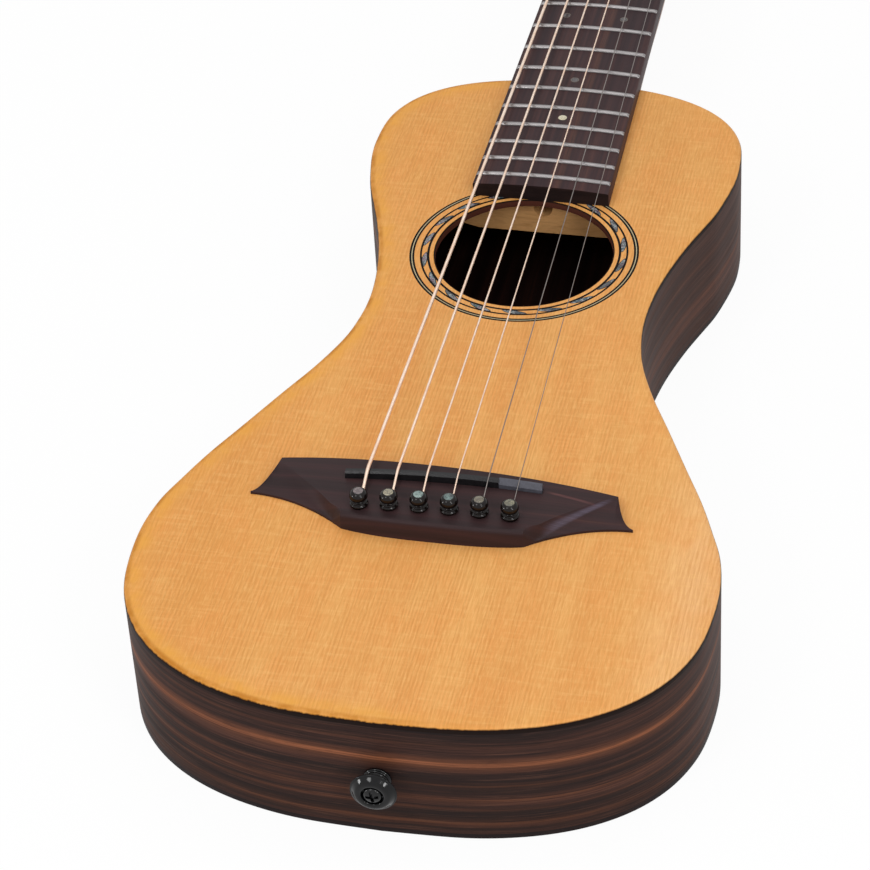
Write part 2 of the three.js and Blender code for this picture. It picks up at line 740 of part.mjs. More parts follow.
function addFingerboard() {
  const board = loft([boardSection(fingerboardEndY), boardSection(scaleLength)]);
  const frets = Array.from({ length: fretCount }, (_, i) => fretWire(fretY(i + 1)));
  add('fingerboard', join(board, ...frets), rosewood);

  const half = nutWidth / 2;
  const top = acrossShares.map((share) => flatSpot(-share * half, boardTop(share * half) + nutAboveBoard));
  const face = [flatSpot(-half, bodyDepth), flatSpot(half, bodyDepth), ...top];
  const nut = new THREE.ExtrudeGeometry(new THREE.Shape(face), { depth: nutThickness, bevelEnabled: false })
    .rotateX(Math.PI / 2).translate(0, nutBackY, 0);
  const slots = stringNumbers.map((n) => {
    const room = stringDiameters[n - 1] / 2 + fitGap;
    return block(
      spot(nutX(n) - room, scaleLength - overrun, stringZ.nut(n) - 2 * fitGap),
      spot(nutX(n) + room, nutBackY + overrun, stringZ.nut(n) + overrun),
    );
  });
  add('nut', cut(nut, ...slots), blackPlastic);
}

// Headstock frame: its face plane starts at the back of the nut and falls away
const head = new THREE.Group();
head.position.set(0, nutBackY, bodyDepth);
head.rotation.x = -radians(headTiltDegrees);
head.updateMatrix();
guitar.add(head);
const fromHead = (x, y, z) => spot(x, y, z).applyMatrix4(head.matrix);

const crownY = firstPostFromNut + postSpacing * (postsPerSide - 1) + lastPostToCrown;
const veneerTop = fitGap + veneerThickness;

function headOutline(fromY) {
  const shape = new THREE.Shape();
  const [throat, lower, upper] = [nutWidth, headLowerWidth, headUpperWidth].map((width) => width / 2);
  const shoulderY = crownY - headCrown;
  const flareY = Math.max(fromY, 0);
  shape.moveTo(-throat, fromY);
  shape.lineTo(throat, fromY);
  shape.lineTo(throat, flareY);
  shape.bezierCurveTo(throat, headFlareLength / 2, lower, headFlareLength / 3, lower, headFlareLength);
  shape.lineTo(upper, shoulderY);
  shape.bezierCurveTo(upper / 2, shoulderY, upper / 3, crownY, 0, crownY);
  shape.bezierCurveTo(-upper / 3, crownY, -upper / 2, shoulderY, -upper, shoulderY);
  shape.lineTo(-lower, headFlareLength);
  shape.bezierCurveTo(-lower, headFlareLength / 3, -throat, headFlareLength / 2, -throat, flareY);
  return shape.getPoints(cornerSteps);
}

// Neck: shaft, heel and headstock in one piece
function neckSection(y) {
  const half = boardWidth(Math.min(y, scaleLength)) / 2;
  const heelShare = THREE.MathUtils.clamp(1 - (y - headEndY) / heelLength, 0, 1);
  const shaftDepth = mix(neckDepthAtHeel, neckDepthAtNut, (y - headEndY) / (scaleLength - headEndY));
  const depth = mix(shaftDepth, bodyDepth, heelShare ** heelSweepPower);
  const pinch = heelPinchShare * heelShare ** heelPinchPower;
  const steps = 12;
  const roundness = 0.95;
  return Array.from({ length: steps + 1 }, (_, i) => {
    const angle = (i / steps) * Math.PI;
    const across = Math.sign(Math.cos(angle)) * Math.abs(Math.cos(angle)) ** roundness;
    const down = Math.sin(angle) ** roundness;
    return spot(half * across * (1 - pinch * down), y, bodyDepth - depth * down);
  });
}

function addNeck() {
  const stationShares = [-0.03, 0.02, 0.05, 0.08, 0.11, 0.14, 0.17, 0.4, 1];
  const stations = stationShares.map((share) => mix(headEndY, nutBackY, share));
  const shaft = loft(stations.map(neckSection));

  const tilt = radians(headTiltDegrees);
  const tip = fromHead(0, crownY + overrun, 0);
  const tipBack = fromHead(0, crownY + overrun, -headThickness);
  const throatBack = fromHead(0, throatDepth, -headThickness);
  const sideProfile = [
    flatSpot(nutBackY - throatLength, bodyDepth), flatSpot(nutBackY, bodyDepth),
    flatSpot(tip.y, tip.z), flatSpot(tipBack.y, tipBack.z), flatSpot(throatBack.y, throatBack.z),
    flatSpot(nutBackY - throatLength / 2, bodyDepth - neckDepthAtNut),
    flatSpot(nutBackY - throatLength, bodyDepth - neckDepthAtNut / 2),
  ];
  const headSlab = sideSlab(sideProfile, -headUpperWidth, 2 * headUpperWidth);
  const plan = slab(headOutline(-throatLength - overrun), -bodyDepth, bodyDepth)
    .rotateX(-tilt).translate(0, nutBackY, bodyDepth);
  const bushingHoles = tuners.map(({ x, y }) =>
    slab(circle(bushingRadius + fitGap, x, y), -bodyDepth, bodyDepth)
      .rotateX(-tilt).translate(0, nutBackY, bodyDepth));
  const heelCap = block(
    spot(-lowerBoutWidth, 0, -bodyDepth),
    spot(lowerBoutWidth, scaleLength, heelCapHeight),
  );
  const neck = join(shaft, within(headSlab, plan));
  add('neck', cut(neck, bodyPrism(-fitGap), rodChannel, heelCap, ...bushingHoles), mahogany);

  const holes = tuners.map(({ x, y }) => circle(bushingRadius + fitGap, x, y));
  add('headstock_veneer', slab(headOutline(fitGap), fitGap, veneerTop, holes), rosewood, head);

  const rodFrom = transverseBraceY + transverseBraceThickness / 2 + fitGap;
  const nutEnd = rodFrom + trussNutLength;
  const grip = trussNutLength - trussSocketDepth - fitGap;
  add('truss_rod', alongRod(trussRodRadius, nutEnd - grip + fitGap, scaleLength - trussRodFromNut), steel);
  const socket = slab(circle(trussSocketAcross / 2, 0, 0, 6), -overrun, trussSocketDepth);
  const thread = rod(trussRodRadius + turningGap, trussNutLength - grip, trussNutLength + overrun);
  const nutBody = cut(rod(trussNutRadius, 0, trussNutLength), socket, thread);
  add('truss_rod_nut', alongY(nutBody).translate(0, rodFrom, rodZ), steel);
}

// Tuners: three posts on each side, each turned by a worm
const wormAxisZ = -headThickness - fitGap - plateThickness - fitGap - wormTipRadius;
const gearPitchRadius = gearTeeth * wormPitch / (2 * Math.PI);
const gearTip = gearPitchRadius + gearAddendum;
const gearRoot = gearPitchRadius - gearDedendum;
const wormDistance = wormTipRadius + gearRoot + meshGap;
const wormHalf = wormTurns * wormPitch / 2;
const tuners = stringNumbers.map((n) => {
  const onTreble = n <= postsPerSide;
  const place = onTreble ? n - 1 : stringTotal - n;
  return {
    n,
    side: onTreble ? 1 : -1,
    x: (onTreble ? 1 : -1) * postSpread / 2,
    y: firstPostFromNut + postSpacing * place,
  };
});

function gearWheel() {
  const pitchAngle = 2 * Math.PI / gearTeeth;
  const rings = [-1, 1].map((end) => {
    const z = end * gearThickness / 2;
    const twist = wormPitch * z / (2 * Math.PI * wormTipRadius) / gearPitchRadius;
    const points = [];
    for (let tooth = 0; tooth < gearTeeth; tooth++) {
      const middle = -Math.PI / 2 + (tooth + 0.5) * pitchAngle + twist;
      for (const [radius, share] of [
        [gearRoot, -toothRootShare], [gearTip, -toothTipShare],
        [gearTip, toothTipShare], [gearRoot, toothRootShare],
      ]) {
        const angle = middle + share * pitchAngle;
        points.push(spot(radius * Math.cos(angle), radius * Math.sin(angle), wormAxisZ + z));
      }
    }
    return points;
  });
  return loft(rings);
}

// The worm's thread: its crest passes the wheel at the post's own place along X
function wormThread() {
  const sides = 8;
  const perPitch = 4;
  const stations = wormTurns * perPitch;
  return loft(Array.from({ length: stations + 1 }, (_, i) => {
    const along = (i / stations - 0.5) * wormTurns;
    const ending = i === 0 || i === stations;
    return Array.from({ length: sides }, (__, j) => {
      const turn = j / sides;
      const phase = Math.abs(along - turn - Math.round(along - turn));
      const onCrest = !ending && Math.round(phase * sides) <= 1;
      const radius = onCrest ? wormTipRadius : wormRootRadius;
      const angle = turn * 2 * Math.PI;
      return spot(along * wormPitch, radius * Math.cos(angle), radius * Math.sin(angle));
    });
  }));
}

function tunerKnob({ x, y, side }) {
  const sides = 8;
  const inner = wormHalf + turningGap + lugThickness + turningGap;
  const stemStart = headUpperWidth / 2 + knobClearance - Math.abs(x);
  const shaft = alongX(rod(wormShaftRadius, -inner, stemStart + knobShaftEntry, sides));
  const buttonShares = [[0, 0.36, 0.6], [0.12, 0.72, 0.85], [0.45, 1, 1], [0.8, 0.94, 0.95], [1, 0.55, 0.6]];
  const button = loft(buttonShares.map(([along, wide, thick]) =>
    circle(1, 0, 0, 10).map((point) => spot(
      stemStart + along * knobLength,
      point.x * wide * knobHalfWidth,
      point.y * thick * knobHalfThickness,
    ))));
  const handle = join(shaft, button);
  if (side < 0) handle.rotateY(Math.PI);
  return join(wormThread(), handle).translate(x, y - wormDistance, wormAxisZ);
}

function tunerPost({ x, y }) {
  const gearUnder = wormAxisZ - gearThickness / 2;
  const low = gearUnder - gearScrewHeight;
  const top = veneerTop + postHeight;
  const bevel = postRadius - postWaistRadius;
  const profile = [
    [0, low], [postWaistRadius, low], [postWaistRadius, gearUnder], [postRadius, gearUnder],
    [postRadius, veneerTop + postWaistFrom], [postWaistRadius, veneerTop + postWaistFrom + bevel],
    [postWaistRadius, veneerTop + postWaistTo], [postRadius, veneerTop + postWaistTo + bevel],
    [postRadius, top - bevel], [postWaistRadius, top], [0, top],
  ];
  return join(turned(profile), gearWheel()).translate(x, y, 0);
}

function tunerBushing({ x, y }) {
  const bore = boreFor(postRadius);
  const seat = veneerTop + fitGap;
  return tube([
    [bore, seat - bushingLength], [bushingRadius, seat - bushingLength], [bushingRadius, seat],
    [bushingFlangeRadius, seat], [bushingFlangeRadius, seat + bushingFlangeHeight],
    [bore, seat + bushingFlangeHeight],
  ]).translate(x, y, 0);
}

function tunerPlate(side) {
  const plateTop = -headThickness - fitGap;
  const plateLow = plateTop - plateThickness;
  const mine = tuners.filter((tuner) => tuner.side === side);
  const ys = mine.map(({ y }) => y);
  const [x] = mine.map((tuner) => tuner.x);
  const low = Math.min(...ys) - wormDistance - plateEndMargin;
  const high = Math.max(...ys) + plateEndMargin;
  const corner = plateWidth / 4;
  const shape = [
    flatSpot(x - plateWidth / 2 + corner, low), flatSpot(x + plateWidth / 2 - corner, low),
    flatSpot(x + plateWidth / 2, low + corner), flatSpot(x + plateWidth / 2, high - corner),
    flatSpot(x + plateWidth / 2 - corner, high), flatSpot(x - plateWidth / 2 + corner, high),
    flatSpot(x - plateWidth / 2, high - corner), flatSpot(x - plateWidth / 2, low + corner),
  ];
  const plate = slab(shape, plateLow, plateTop, mine.map(({ y }) => circle(boreFor(postRadius), x, y)));
  const lugs = [];
  const bores = [];
  for (const { y } of mine) {
    const axisY = y - wormDistance;
    const lugLow = wormAxisZ - wormShaftRadius - lugThickness - turningGap;
    for (const end of [-1, 1]) {
      const near = x + end * (wormHalf + turningGap);
      const far = near + end * lugThickness;
      lugs.push(block(
        spot(Math.min(near, far), axisY - lugWidth / 2, lugLow),
        spot(Math.max(near, far), axisY + lugWidth / 2, plateTop),
      ));
    }
    const bore = boreFor(wormShaftRadius, turningGap, 8);
    bores.push(alongX(rod(bore, -plateWidth, plateWidth, 8)).translate(x, axisY, wormAxisZ));
  }
  return cut(join(plate, ...lugs), ...bores);
}

function addTuners() {
  add('tuner_plate_treble', tunerPlate(1), blackMetal, head);
  add('tuner_plate_bass', tunerPlate(-1), blackMetal, head);
  for (const tuner of tuners) {
    add(`tuner_bushing_${tuner.n}`, tunerBushing(tuner), blackMetal, head);
    add(`tuner_post_${tuner.n}`, tunerPost(tuner), blackMetal, head);
    add(`tuner_knob_${tuner.n}`, tunerKnob(tuner), blackMetal, head);
  }
}

// A path through chosen points, so that a tube has a ring at each of them
class Route extends THREE.Curve {
  constructor(points) {
    super();
    this.points = points;
  }

  getPoint(t) {
    const place = t * (this.points.length - 1);
    const i = Math.min(Math.floor(place), this.points.length - 2);
    return this.points[i].clone().lerp(this.points[i + 1], place - i);
  }

  getPointAt(u) {
    return this.getPoint(u);
  }

  getTangentAt(u) {
    const i = Math.round(u * (this.points.length - 1));
    const before = this.points[Math.max(i - 1, 0)];
    const after = this.points[Math.min(i + 1, this.points.length - 1)];
    return after.clone().sub(before).normalize();
  }

  getSpacedPoints() {
    return this.points;
  }
}

// The turns of a string on its post, in the headstock's frame
function windingPoints(n) {
  const { x, y, side } = tuners[n - 1];
  const diameter = stringDiameters[n - 1];
  const radius = postWaistRadius + fitGap + diameter / 2;
  const highest = veneerTop + postWaistTo - diameter / 2 - fitGap;
  const pitch = diameter + windingGap;
  const steps = windingTurns * turnSteps;
  return Array.from({ length: steps + 1 }, (_, i) => {
    const turn = i / turnSteps;
    const angle = turn * 2 * Math.PI;
    return spot(x - side * radius * Math.cos(angle), y + radius * Math.sin(angle), highest - pitch * turn);
  });
}

// The least gap between the turns of a winding, measured from point to point
function leastWindingGap(n) {
  const points = windingPoints(n);
  let least = Infinity;
  for (let i = 0; i < points.length; i++) {
    for (let j = i + turnSteps / 2; j < points.length; j++) {
      least = Math.min(least, points[i].distanceTo(points[j]));
    }
  }
  return least - stringDiameters[n - 1];
}

function stringPoints(n) {
  const radius = stringDiameters[n - 1] / 2;
  const lift = radius + fitGap;
  const holeY = pinY(n) + pinStringOffset;
  const top = bodyDepth + bridgeTopAt(pinX(n));
  const under = plateUnder - thickestString / 2 - fitGap;
  const ballY = pinY(n) + pinShankRadius + fitGap + ballRadius;
  return [
    spot(pinX(n), ballY, under - ballDrop),
    spot(pinX(n), holeY, under),
    spot(pinX(n), holeY, top - rampDepth),
    spot(pinX(n), holeY + rampRun, top + lift),
    spot(saddleX(n), saddleY + Math.tan(saddleAngle) * saddleX(n), stringZ.saddle(n) + lift),
    spot(nutX(n), scaleLength, stringZ.nut(n) + radius),
    spot(nutX(n), nutBackY, stringZ.nut(n) + radius - fitGap),
    ...windingPoints(n).map((point) => fromHead(point.x, point.y, point.z)),
  ];
}

function addStrings() {
  for (const n of stringNumbers) {
    const radius = stringDiameters[n - 1] / 2;
    const points = stringPoints(n);
    const run = new THREE.ExtrudeGeometry(new THREE.Shape(circle(radius, 0, 0, stringSides)), {
      steps: points.length - 1,
      bevelEnabled: false,
      extrudePath: new Route(points),
    });
    const ball = rod(ballRadius, -ballHeight + radius, radius)
      .translate(points[0].x, points[0].y, points[0].z);
    add(`string_${n}`, join(run, ball), n > plainStringCount ? bronze : steel);
  }
  const gaps = stringNumbers.map((n) => leastWindingGap(n).toFixed(2));
  console.log(`least gap between the turns of each string's winding, mm: ${gaps.join(', ')}`);
}

// Strap button on the tail, with its screw
function addStrapButton() {
  const bore = strapScrewRadius + fitGap;
  const headSeat = strapButtonHeight - strapScrewHeadHeight / 2;
  const profileShares = [
    [strapButtonBase, 0], [strapButtonBase, 0.12], [strapButtonWaist, 0.26], [strapButtonWaist, 0.45],
    [strapButtonRadius, 0.72], [strapButtonRadius, 0.86],
  ];
  const button = tube([
    [bore, 0],
    ...profileShares.map(([radius, share]) => [radius, share * strapButtonHeight]),
    [strapScrewHeadRadius + fitGap, strapButtonHeight],
    [strapScrewHeadRadius + fitGap, headSeat],
    [bore, headSeat],
  ], 20);
  const toTail = (geometry) =>
    geometry.rotateX(Math.PI / 2).translate(strapButtonOffset, strapY, strapZ);
  add('strap_button', toTail(button), blackMetal);

  const headLow = headSeat + fitGap;
  const headHigh = headLow + strapScrewHeadHeight;
  const domeShares = [[1, 0], [0.9, 0.55], [0.5, 1], [0, 1]];
  const screw = turned([
    [0, -strapScrewLength], [strapScrewRadius, -strapScrewLength + strapScrewRadius],
    [strapScrewRadius, headLow],
    ...domeShares.map(([out, up]) => [out * strapScrewHeadRadius, mix(headLow, headHigh, up)]),
  ]);
  const half = strapCrossWidth / 2;
  const arm = strapScrewHeadRadius / 2;
  const crossFloorShare = 0.3;
  const floor = mix(headLow, headHigh, crossFloorShare);
  const crossed = cut(
    screw,
    block(spot(-arm, -half, floor), spot(arm, half, headHigh + overrun)),
    block(spot(-half, -arm, floor), spot(half, arm, headHigh + overrun)),
  );
  add('strap_button_screw', toTail(crossed), blackMetal);
}

addPlates();
addRim();
addBraces();
addBridge();
addPins();
addFingerboard();
addNeck();
addTuners();
addStrings();
addStrapButton();

export default guitar;
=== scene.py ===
"""Looks of the travel guitar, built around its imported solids.

Sizes of shapes are in millimetres, and MM turns them into metres. Materials work in metres.
"""

import math
from contextlib import contextmanager
from math import cos, pi, radians, sin

import bmesh
import bpy
from mathutils import Matrix, Vector


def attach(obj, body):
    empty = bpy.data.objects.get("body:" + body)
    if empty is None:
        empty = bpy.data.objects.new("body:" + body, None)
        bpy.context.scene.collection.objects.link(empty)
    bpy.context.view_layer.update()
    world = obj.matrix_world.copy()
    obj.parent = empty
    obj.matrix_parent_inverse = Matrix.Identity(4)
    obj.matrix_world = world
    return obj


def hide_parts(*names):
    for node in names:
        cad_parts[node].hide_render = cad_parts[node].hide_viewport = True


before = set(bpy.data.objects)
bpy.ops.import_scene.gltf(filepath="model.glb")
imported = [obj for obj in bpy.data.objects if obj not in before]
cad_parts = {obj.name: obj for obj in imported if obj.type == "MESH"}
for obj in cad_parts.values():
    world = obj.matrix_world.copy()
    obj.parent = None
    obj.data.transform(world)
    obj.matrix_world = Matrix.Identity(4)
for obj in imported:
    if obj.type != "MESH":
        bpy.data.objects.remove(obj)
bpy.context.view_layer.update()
MM = 0.001

# ---- sizes shared with the solids
FIT_GAP = 0.3
SCALE_LENGTH = 610.0
FRETS, BODY_FRET = 20, 14
BODY_DEPTH = 53.0
TOP = BODY_DEPTH
TOP_UNDER = 50.2
BACK_TOP = 2.6
RIB = 2.2
EDGE = 1.6
LOWER_HALF, WAIST_HALF, UPPER_HALF = 105.4, 54.5, 76.3
LOWER_RISE, WAIST_RISE, UPPER_DROP = 81.2, 232.2, 54.5
HEAD_END = SCALE_LENGTH / 2 ** (BODY_FRET / 12) + 1.8
TAIL = HEAD_END - 392.7
LOWER_Y, WAIST_Y, UPPER_Y = TAIL + LOWER_RISE, TAIL + WAIST_RISE, HEAD_END - UPPER_DROP
BOARD_END = SCALE_LENGTH / 2 ** (FRETS / 12) - 7.0
HOLE_R = 35.4
HOLE_Y = BOARD_END - 0.2 - HOLE_R
NUT_W, LAST_W = 43.6, 55.8
BOARD_T, BOARD_R = 7.0, 340.0
NUT_FRONT = SCALE_LENGTH + FIT_GAP
NUT_BACK = NUT_FRONT + 4.5
NUT_SPACING = 7.0
HEAD_TILT = radians(12)
HEAD_T = 12.0
VENEER_TOP = 2.0
STRINGS = [0.3, 0.41, 0.61, 0.81, 1.07, 1.35]
BRIDGE_PLATE_T = 2.5
# The flanks between two widths of the body: (share of the way, share of the difference)
LOWER_FLANK = [(0.12, 0.955), (0.22, 0.853), (0.32, 0.735), (0.43, 0.582),
               (0.58, 0.375), (0.7, 0.206), (0.82, 0.073), (0.92, 0.015)]
UPPER_FLANK = [(0.1, 0.972), (0.21, 0.879), (0.31, 0.766), (0.41, 0.6), (0.51, 0.432),
               (0.6, 0.302), (0.7, 0.178), (0.79, 0.092), (0.89, 0.028)]


def mix(a, b, t):
    return a + (b - a) * t


def clamp(value, low=0.0, high=1.0):
    return max(low, min(high, value))


def ease(t):
    return t * t * (3 - 2 * t)


def fret_y(n):
    return SCALE_LENGTH / 2 ** (n / 12)


def from_middle(n, spacing):
    """How far string n lies from the centre line."""
    return (3.5 - n) * spacing


# ---- colours and node helpers
def linear(r, g, b):
    """A colour given as it looks on screen, 0 to 255."""
    def one(v):
        v /= 255
        return v / 12.92 if v <= 0.04045 else ((v + 0.055) / 1.055) ** 2.4
    return (one(r), one(g), one(b), 1.0)


class Nodes:
    """Short ways to add nodes to a tree. Inputs are numbers, tuples or other nodes' outputs."""

    def __init__(self, tree):
        self.tree = tree

    def node(self, kind, inputs=(), **props):
        made = self.tree.nodes.new("ShaderNode" + kind)
        for key, value in props.items():
            setattr(made, key, value)
        for key, value in dict(inputs).items():
            self.put(made.inputs[key], value)
        return made

    def put(self, socket, value):
        if isinstance(value, bpy.types.NodeSocket):
            self.tree.links.new(value, socket)
        else:
            socket.default_value = value

    def math(self, operation, a, b=0.0, c=0.0):
        return self.node("Math", {0: a, 1: b, 2: c}, operation=operation).outputs[0]

    def seen(self):
        """1 for what the camera sees directly, in a reflection or through glass; 0 for light on a surface."""
        ray = self.node("LightPath").outputs
        bent = self.math("MAXIMUM", ray["Is Glossy Ray"], ray["Is Transmission Ray"])
        return self.math("MAXIMUM", ray["Is Camera Ray"], bent)

    def either(self, factor, a, b):
        made = self.node("MixShader")
        for socket, value in zip(made.inputs, (factor, a, b)):
            self.put(socket, value)
        return made.outputs[0]


class Look(Nodes):
    """A material on one Principled shader."""

    def __init__(self, name, rough=0.5, metal=0.0, **sockets):
        self.mat = bpy.data.materials.new(name)
        self.mat.use_nodes = True
        super().__init__(self.mat.node_tree)
        self.shader = self.tree.nodes["Principled BSDF"]
        self.shader.inputs["Roughness"].default_value = rough
        self.shader.inputs["Metallic"].default_value = metal
        for key, value in sockets.items():
            self.shader.inputs[key.replace("_", " ")].default_value = value

    def where(self, kind="Object"):
        return self.node("TexCoord").outputs[kind]

    def noise(self, vector, scale=1.0, detail=2.0, rough=0.5, distortion=0.0):
        return self.node("TexNoise", {"Vector": vector, "Scale": scale, "Detail": detail,
                                      "Roughness": rough, "Distortion": distortion}).outputs["Fac"]

    def grain(self, scale, detail=2.0, rough=0.5, distortion=0.0, offset=(0, 0, 0)):
        """Noise stretched by a scale for each axis of the object."""
        place = self.node("Mapping", {"Vector": self.where(), "Scale": scale, "Location": offset}).outputs[0]
        return self.noise(place, 1.0, detail, rough, distortion)

    def flat(self, u, v, u_scale, v_scale, detail=2.0, rough=0.5, shift=0.0):
        """Noise over two values, each with its own scale; another shift gives another pattern."""
        place = self.node("CombineXYZ", {0: self.times(u, u_scale), 1: self.times(v, v_scale), 2: shift}).outputs[0]
        return self.noise(place, 1.0, detail, rough)

    def times(self, a, b):
        return self.math("MULTIPLY", a, b)

    def minus(self, a, b):
        return self.math("SUBTRACT", a, b)

    def times_plus(self, a, b, c):
        return self.math("MULTIPLY_ADD", a, b, c)

    def gap(self, a, b):
        return self.math("ABSOLUTE", self.minus(a, b))

    def span(self, value, low, high, to_low=0.0, to_high=1.0):
        return self.node("MapRange", {"Value": value, "From Min": low, "From Max": high,
                                      "To Min": to_low, "To Max": to_high},
                         interpolation_type="SMOOTHSTEP").outputs[0]

    def blend(self, factor, a, b):
        made = self.node("Mix", data_type="RGBA")
        self.put(made.inputs[0], factor)
        self.put(made.inputs[6], a)
        self.put(made.inputs[7], b)
        return made.outputs[2]

    def wash(self, tone, *layers):
        """Lays colours over a tone. Each layer is (value, from, to, most, colour), where most is its share at to."""
        for value, low, high, most, rgb in layers:
            tone = self.blend(self.span(value, low, high, 0.0, most), tone, linear(*rgb))
        return tone

    def ramp(self, factor, *stops):
        made = self.node("ValToRGB", {"Fac": factor})
        ends = made.color_ramp.elements
        while len(ends) < len(stops):
            ends.new(0.5)
        for element, (place, rgb) in zip(ends, stops):
            element.position = place
            element.color = linear(*rgb)
        return made.outputs["Color"]

    def split(self, vector):
        return self.node("SeparateXYZ", {"Vector": vector}).outputs

    def done(self, tone, rough=None, height=None, strength=0.1, distance=0.0001):
        """Sets the colour, and the roughness and bump if given, and hands over the material."""
        self.put(self.shader.inputs["Base Color"], tone)
        if rough is not None:
            self.put(self.shader.inputs["Roughness"], rough)
        if height is not None:
            bump = self.node("Bump", {"Height": height, "Strength": strength, "Distance": distance})
            self.put(self.shader.inputs["Normal"], bump.outputs[0])
        return self.mat


# ---- materials
def spruce():
    """Lacquered spruce: grain lines along Y, cross silk, an amber rim on the bass side and a dark stain below it.

    The rim attribute is 0 on the plate, 1 where the edge starts to round, 2 down the side and 3 in the hole.
    """
    line_pitch = 0.00177
    look = Look("spruce", rough=0.5, Specular_IOR_Level=0.25)
    x, y, _ = look.split(look.where())
    away = look.math("POWER", look.math("ABSOLUTE", x), 0.93)
    wander, shiver = look.grain((24, 1.6, 1)), look.grain((420, 16, 1))
    phase = look.times_plus(away, 2 * pi / line_pitch, look.times(wander, 26.0))
    phase = look.times_plus(shiver, 5.0, phase)
    line = look.math("POWER", look.times_plus(look.math("SINE", phase), 0.5, 0.5), 1.6)
    line = look.times(line, look.span(look.grain((220, 9, 1), 3.0, 0.6), 0.3, 0.66, 0.15, 1.0))
    fibre = look.grain((2300, 130, 60), 3.0, 0.6)
    speck = look.grain((1900, 240, 60), 2.0, 0.6)
    silk = look.grain((60, 520, 1), 4.0, 0.65, 0.4)
    patch = look.grain((44, 4, 1), 3.0, 0.55, offset=(3.7, 1.3, 0))
    mottle = look.grain((75, 48, 1), 3.0, 0.55, offset=(0.4, 2.9, 0))
    knots = look.grain((60, 34, 1), 1.0, offset=(1.1, 4.2, 0))
    # Painted light: painted shade over the bass side, a painted highlight along the treble edge; the plate is also
    # darker towards the neck.
    tone = look.wash(linear(238, 178, 104), (patch, 0.32, 0.7, 1.0, (226, 156, 84)),
                     (y, 0.1, 0.27, 0.6, (226, 165, 90)), (x, 0.0, -0.09, 0.6, (222, 152, 74)),
                     (x, 0.07, 0.102, 0.7, (246, 194, 138)), (mottle, 0.35, 0.68, 0.4, (236, 156, 82)))
    line_depth = look.span(x, 0.03, 0.08, 0.46, 0.3)
    tone = look.blend(look.times(line, line_depth), tone, linear(198, 128, 58))
    tone = look.wash(tone, (silk, 0.46, 0.74, 0.25, (250, 202, 128)), (fibre, 0.35, 0.72, 0.44, (206, 138, 64)),
                     (speck, 0.48, 0.72, 0.24, (252, 204, 130)), (knots, 0.83, 0.9, 0.5, (150, 92, 44)))

    rim = look.node("Attribute", attribute_name="rim").outputs["Fac"]
    blotch = look.noise(look.where(), 110.0, 4.0, 0.6)
    aged = look.span(x, 0.05, -0.03, 0.12, 1.0)
    glow = look.times(look.span(rim, 0.0, 0.6), look.span(blotch, 0.35, 0.65, 0.25, 0.75))
    tone = look.blend(look.times(glow, aged), tone, linear(232, 164, 66))
    burnt = look.times(look.span(rim, 0.7, 1.15), look.span(blotch, 0.4, 0.6, 0.4, 1.0))
    tone = look.blend(look.times(burnt, aged), tone, linear(188, 120, 34))
    tooth = look.minus(look.grain((800, 300, 60), 3.0), 0.5)
    tear = look.span(x, 0.05, -0.02, 0.16, 0.5)
    ragged = look.times_plus(tooth, tear, rim)
    tone = look.wash(tone, (ragged, 1.43, 1.75, 1.0, (28, 18, 15)), (rim, 2.75, 2.95, 1.0, (80, 44, 34)))
    look.put(look.shader.inputs["Specular IOR Level"], look.span(rim, 1.35, 1.7, 0.25, 0.05))
    return look.done(tone, look.span(fibre, 0.2, 0.8, 0.44, 0.58), look.times_plus(line, 0.5, fibre), 0.1, 0.00006)


def striped(name, coord="UV", along=0, across=1, streaks=()):
    """Dark striped ebony under a thin satin finish.

    along and across pick the coordinates that run with and across the grain; streaks are (place, half width, strength).
    """
    look = Look(name, rough=0.46, Specular_IOR_Level=0.07)
    parts = look.split(look.where(coord))
    u, v = parts[along], parts[across]
    bend = look.minus(look.flat(u, v, 5.0, 9.0, rough=0.55), 0.5)
    level = look.times_plus(bend, 0.008, v)
    bands = look.flat(u, level, 1.7, 95.0, 3.0, 0.6)
    fine = look.flat(u, level, 8.0, 560.0, 3.0, 0.6)
    hair = look.flat(u, level, 30.0, 1700.0, 3.0, 0.65)
    pores = look.flat(u, level, 140.0, 2600.0, 2.0, 0.6)
    tone = look.ramp(look.times_plus(look.minus(fine, 0.5), 0.45, bands), (0.3, (27, 20, 20)), (0.46, (38, 28, 26)),
                     (0.56, (52, 35, 31)), (0.7, (74, 48, 40)))
    # Painted light: the treble rib is painted lighter and warmer from the tail towards the waist.
    tone = look.wash(tone, (u, 1.02, 1.25, 0.2, (112, 76, 64)))
    for middle, reach, strength in streaks:
        near = look.gap(level, middle)
        core = look.span(near, reach, reach * 0.15)
        glow = look.span(near, reach * 2.6, 0.0, 0.0, 0.4)
        ragged = look.span(look.flat(u, level, 9.0, 950.0, 3.0, 0.6, middle * 900), 0.33, 0.6, 0.2, 1.0)
        come = look.span(look.flat(u, level, 4.5, 0.0, 1.0, 0.5, middle * 700), 0.36, 0.56, 0.3, 1.0)
        faded = look.span(u, 1.05, 1.16, strength, strength * 0.6)
        amount = look.times(look.math("MAXIMUM", look.times(core, ragged), glow), look.times(come, faded))
        tone = look.blend(amount, tone, linear(154, 94, 64))
    tone = look.wash(tone, (hair, 0.5, 0.72, 0.6, (26, 20, 21)), (hair, 0.46, 0.3, 0.25, (120, 82, 66)),
                     (pores, 0.56, 0.76, 0.6, (22, 17, 17)))
    return look.done(tone, look.span(fine, 0.2, 0.8, 0.5, 0.64), look.math("ADD", pores, fine), 0.1, 0.00008)


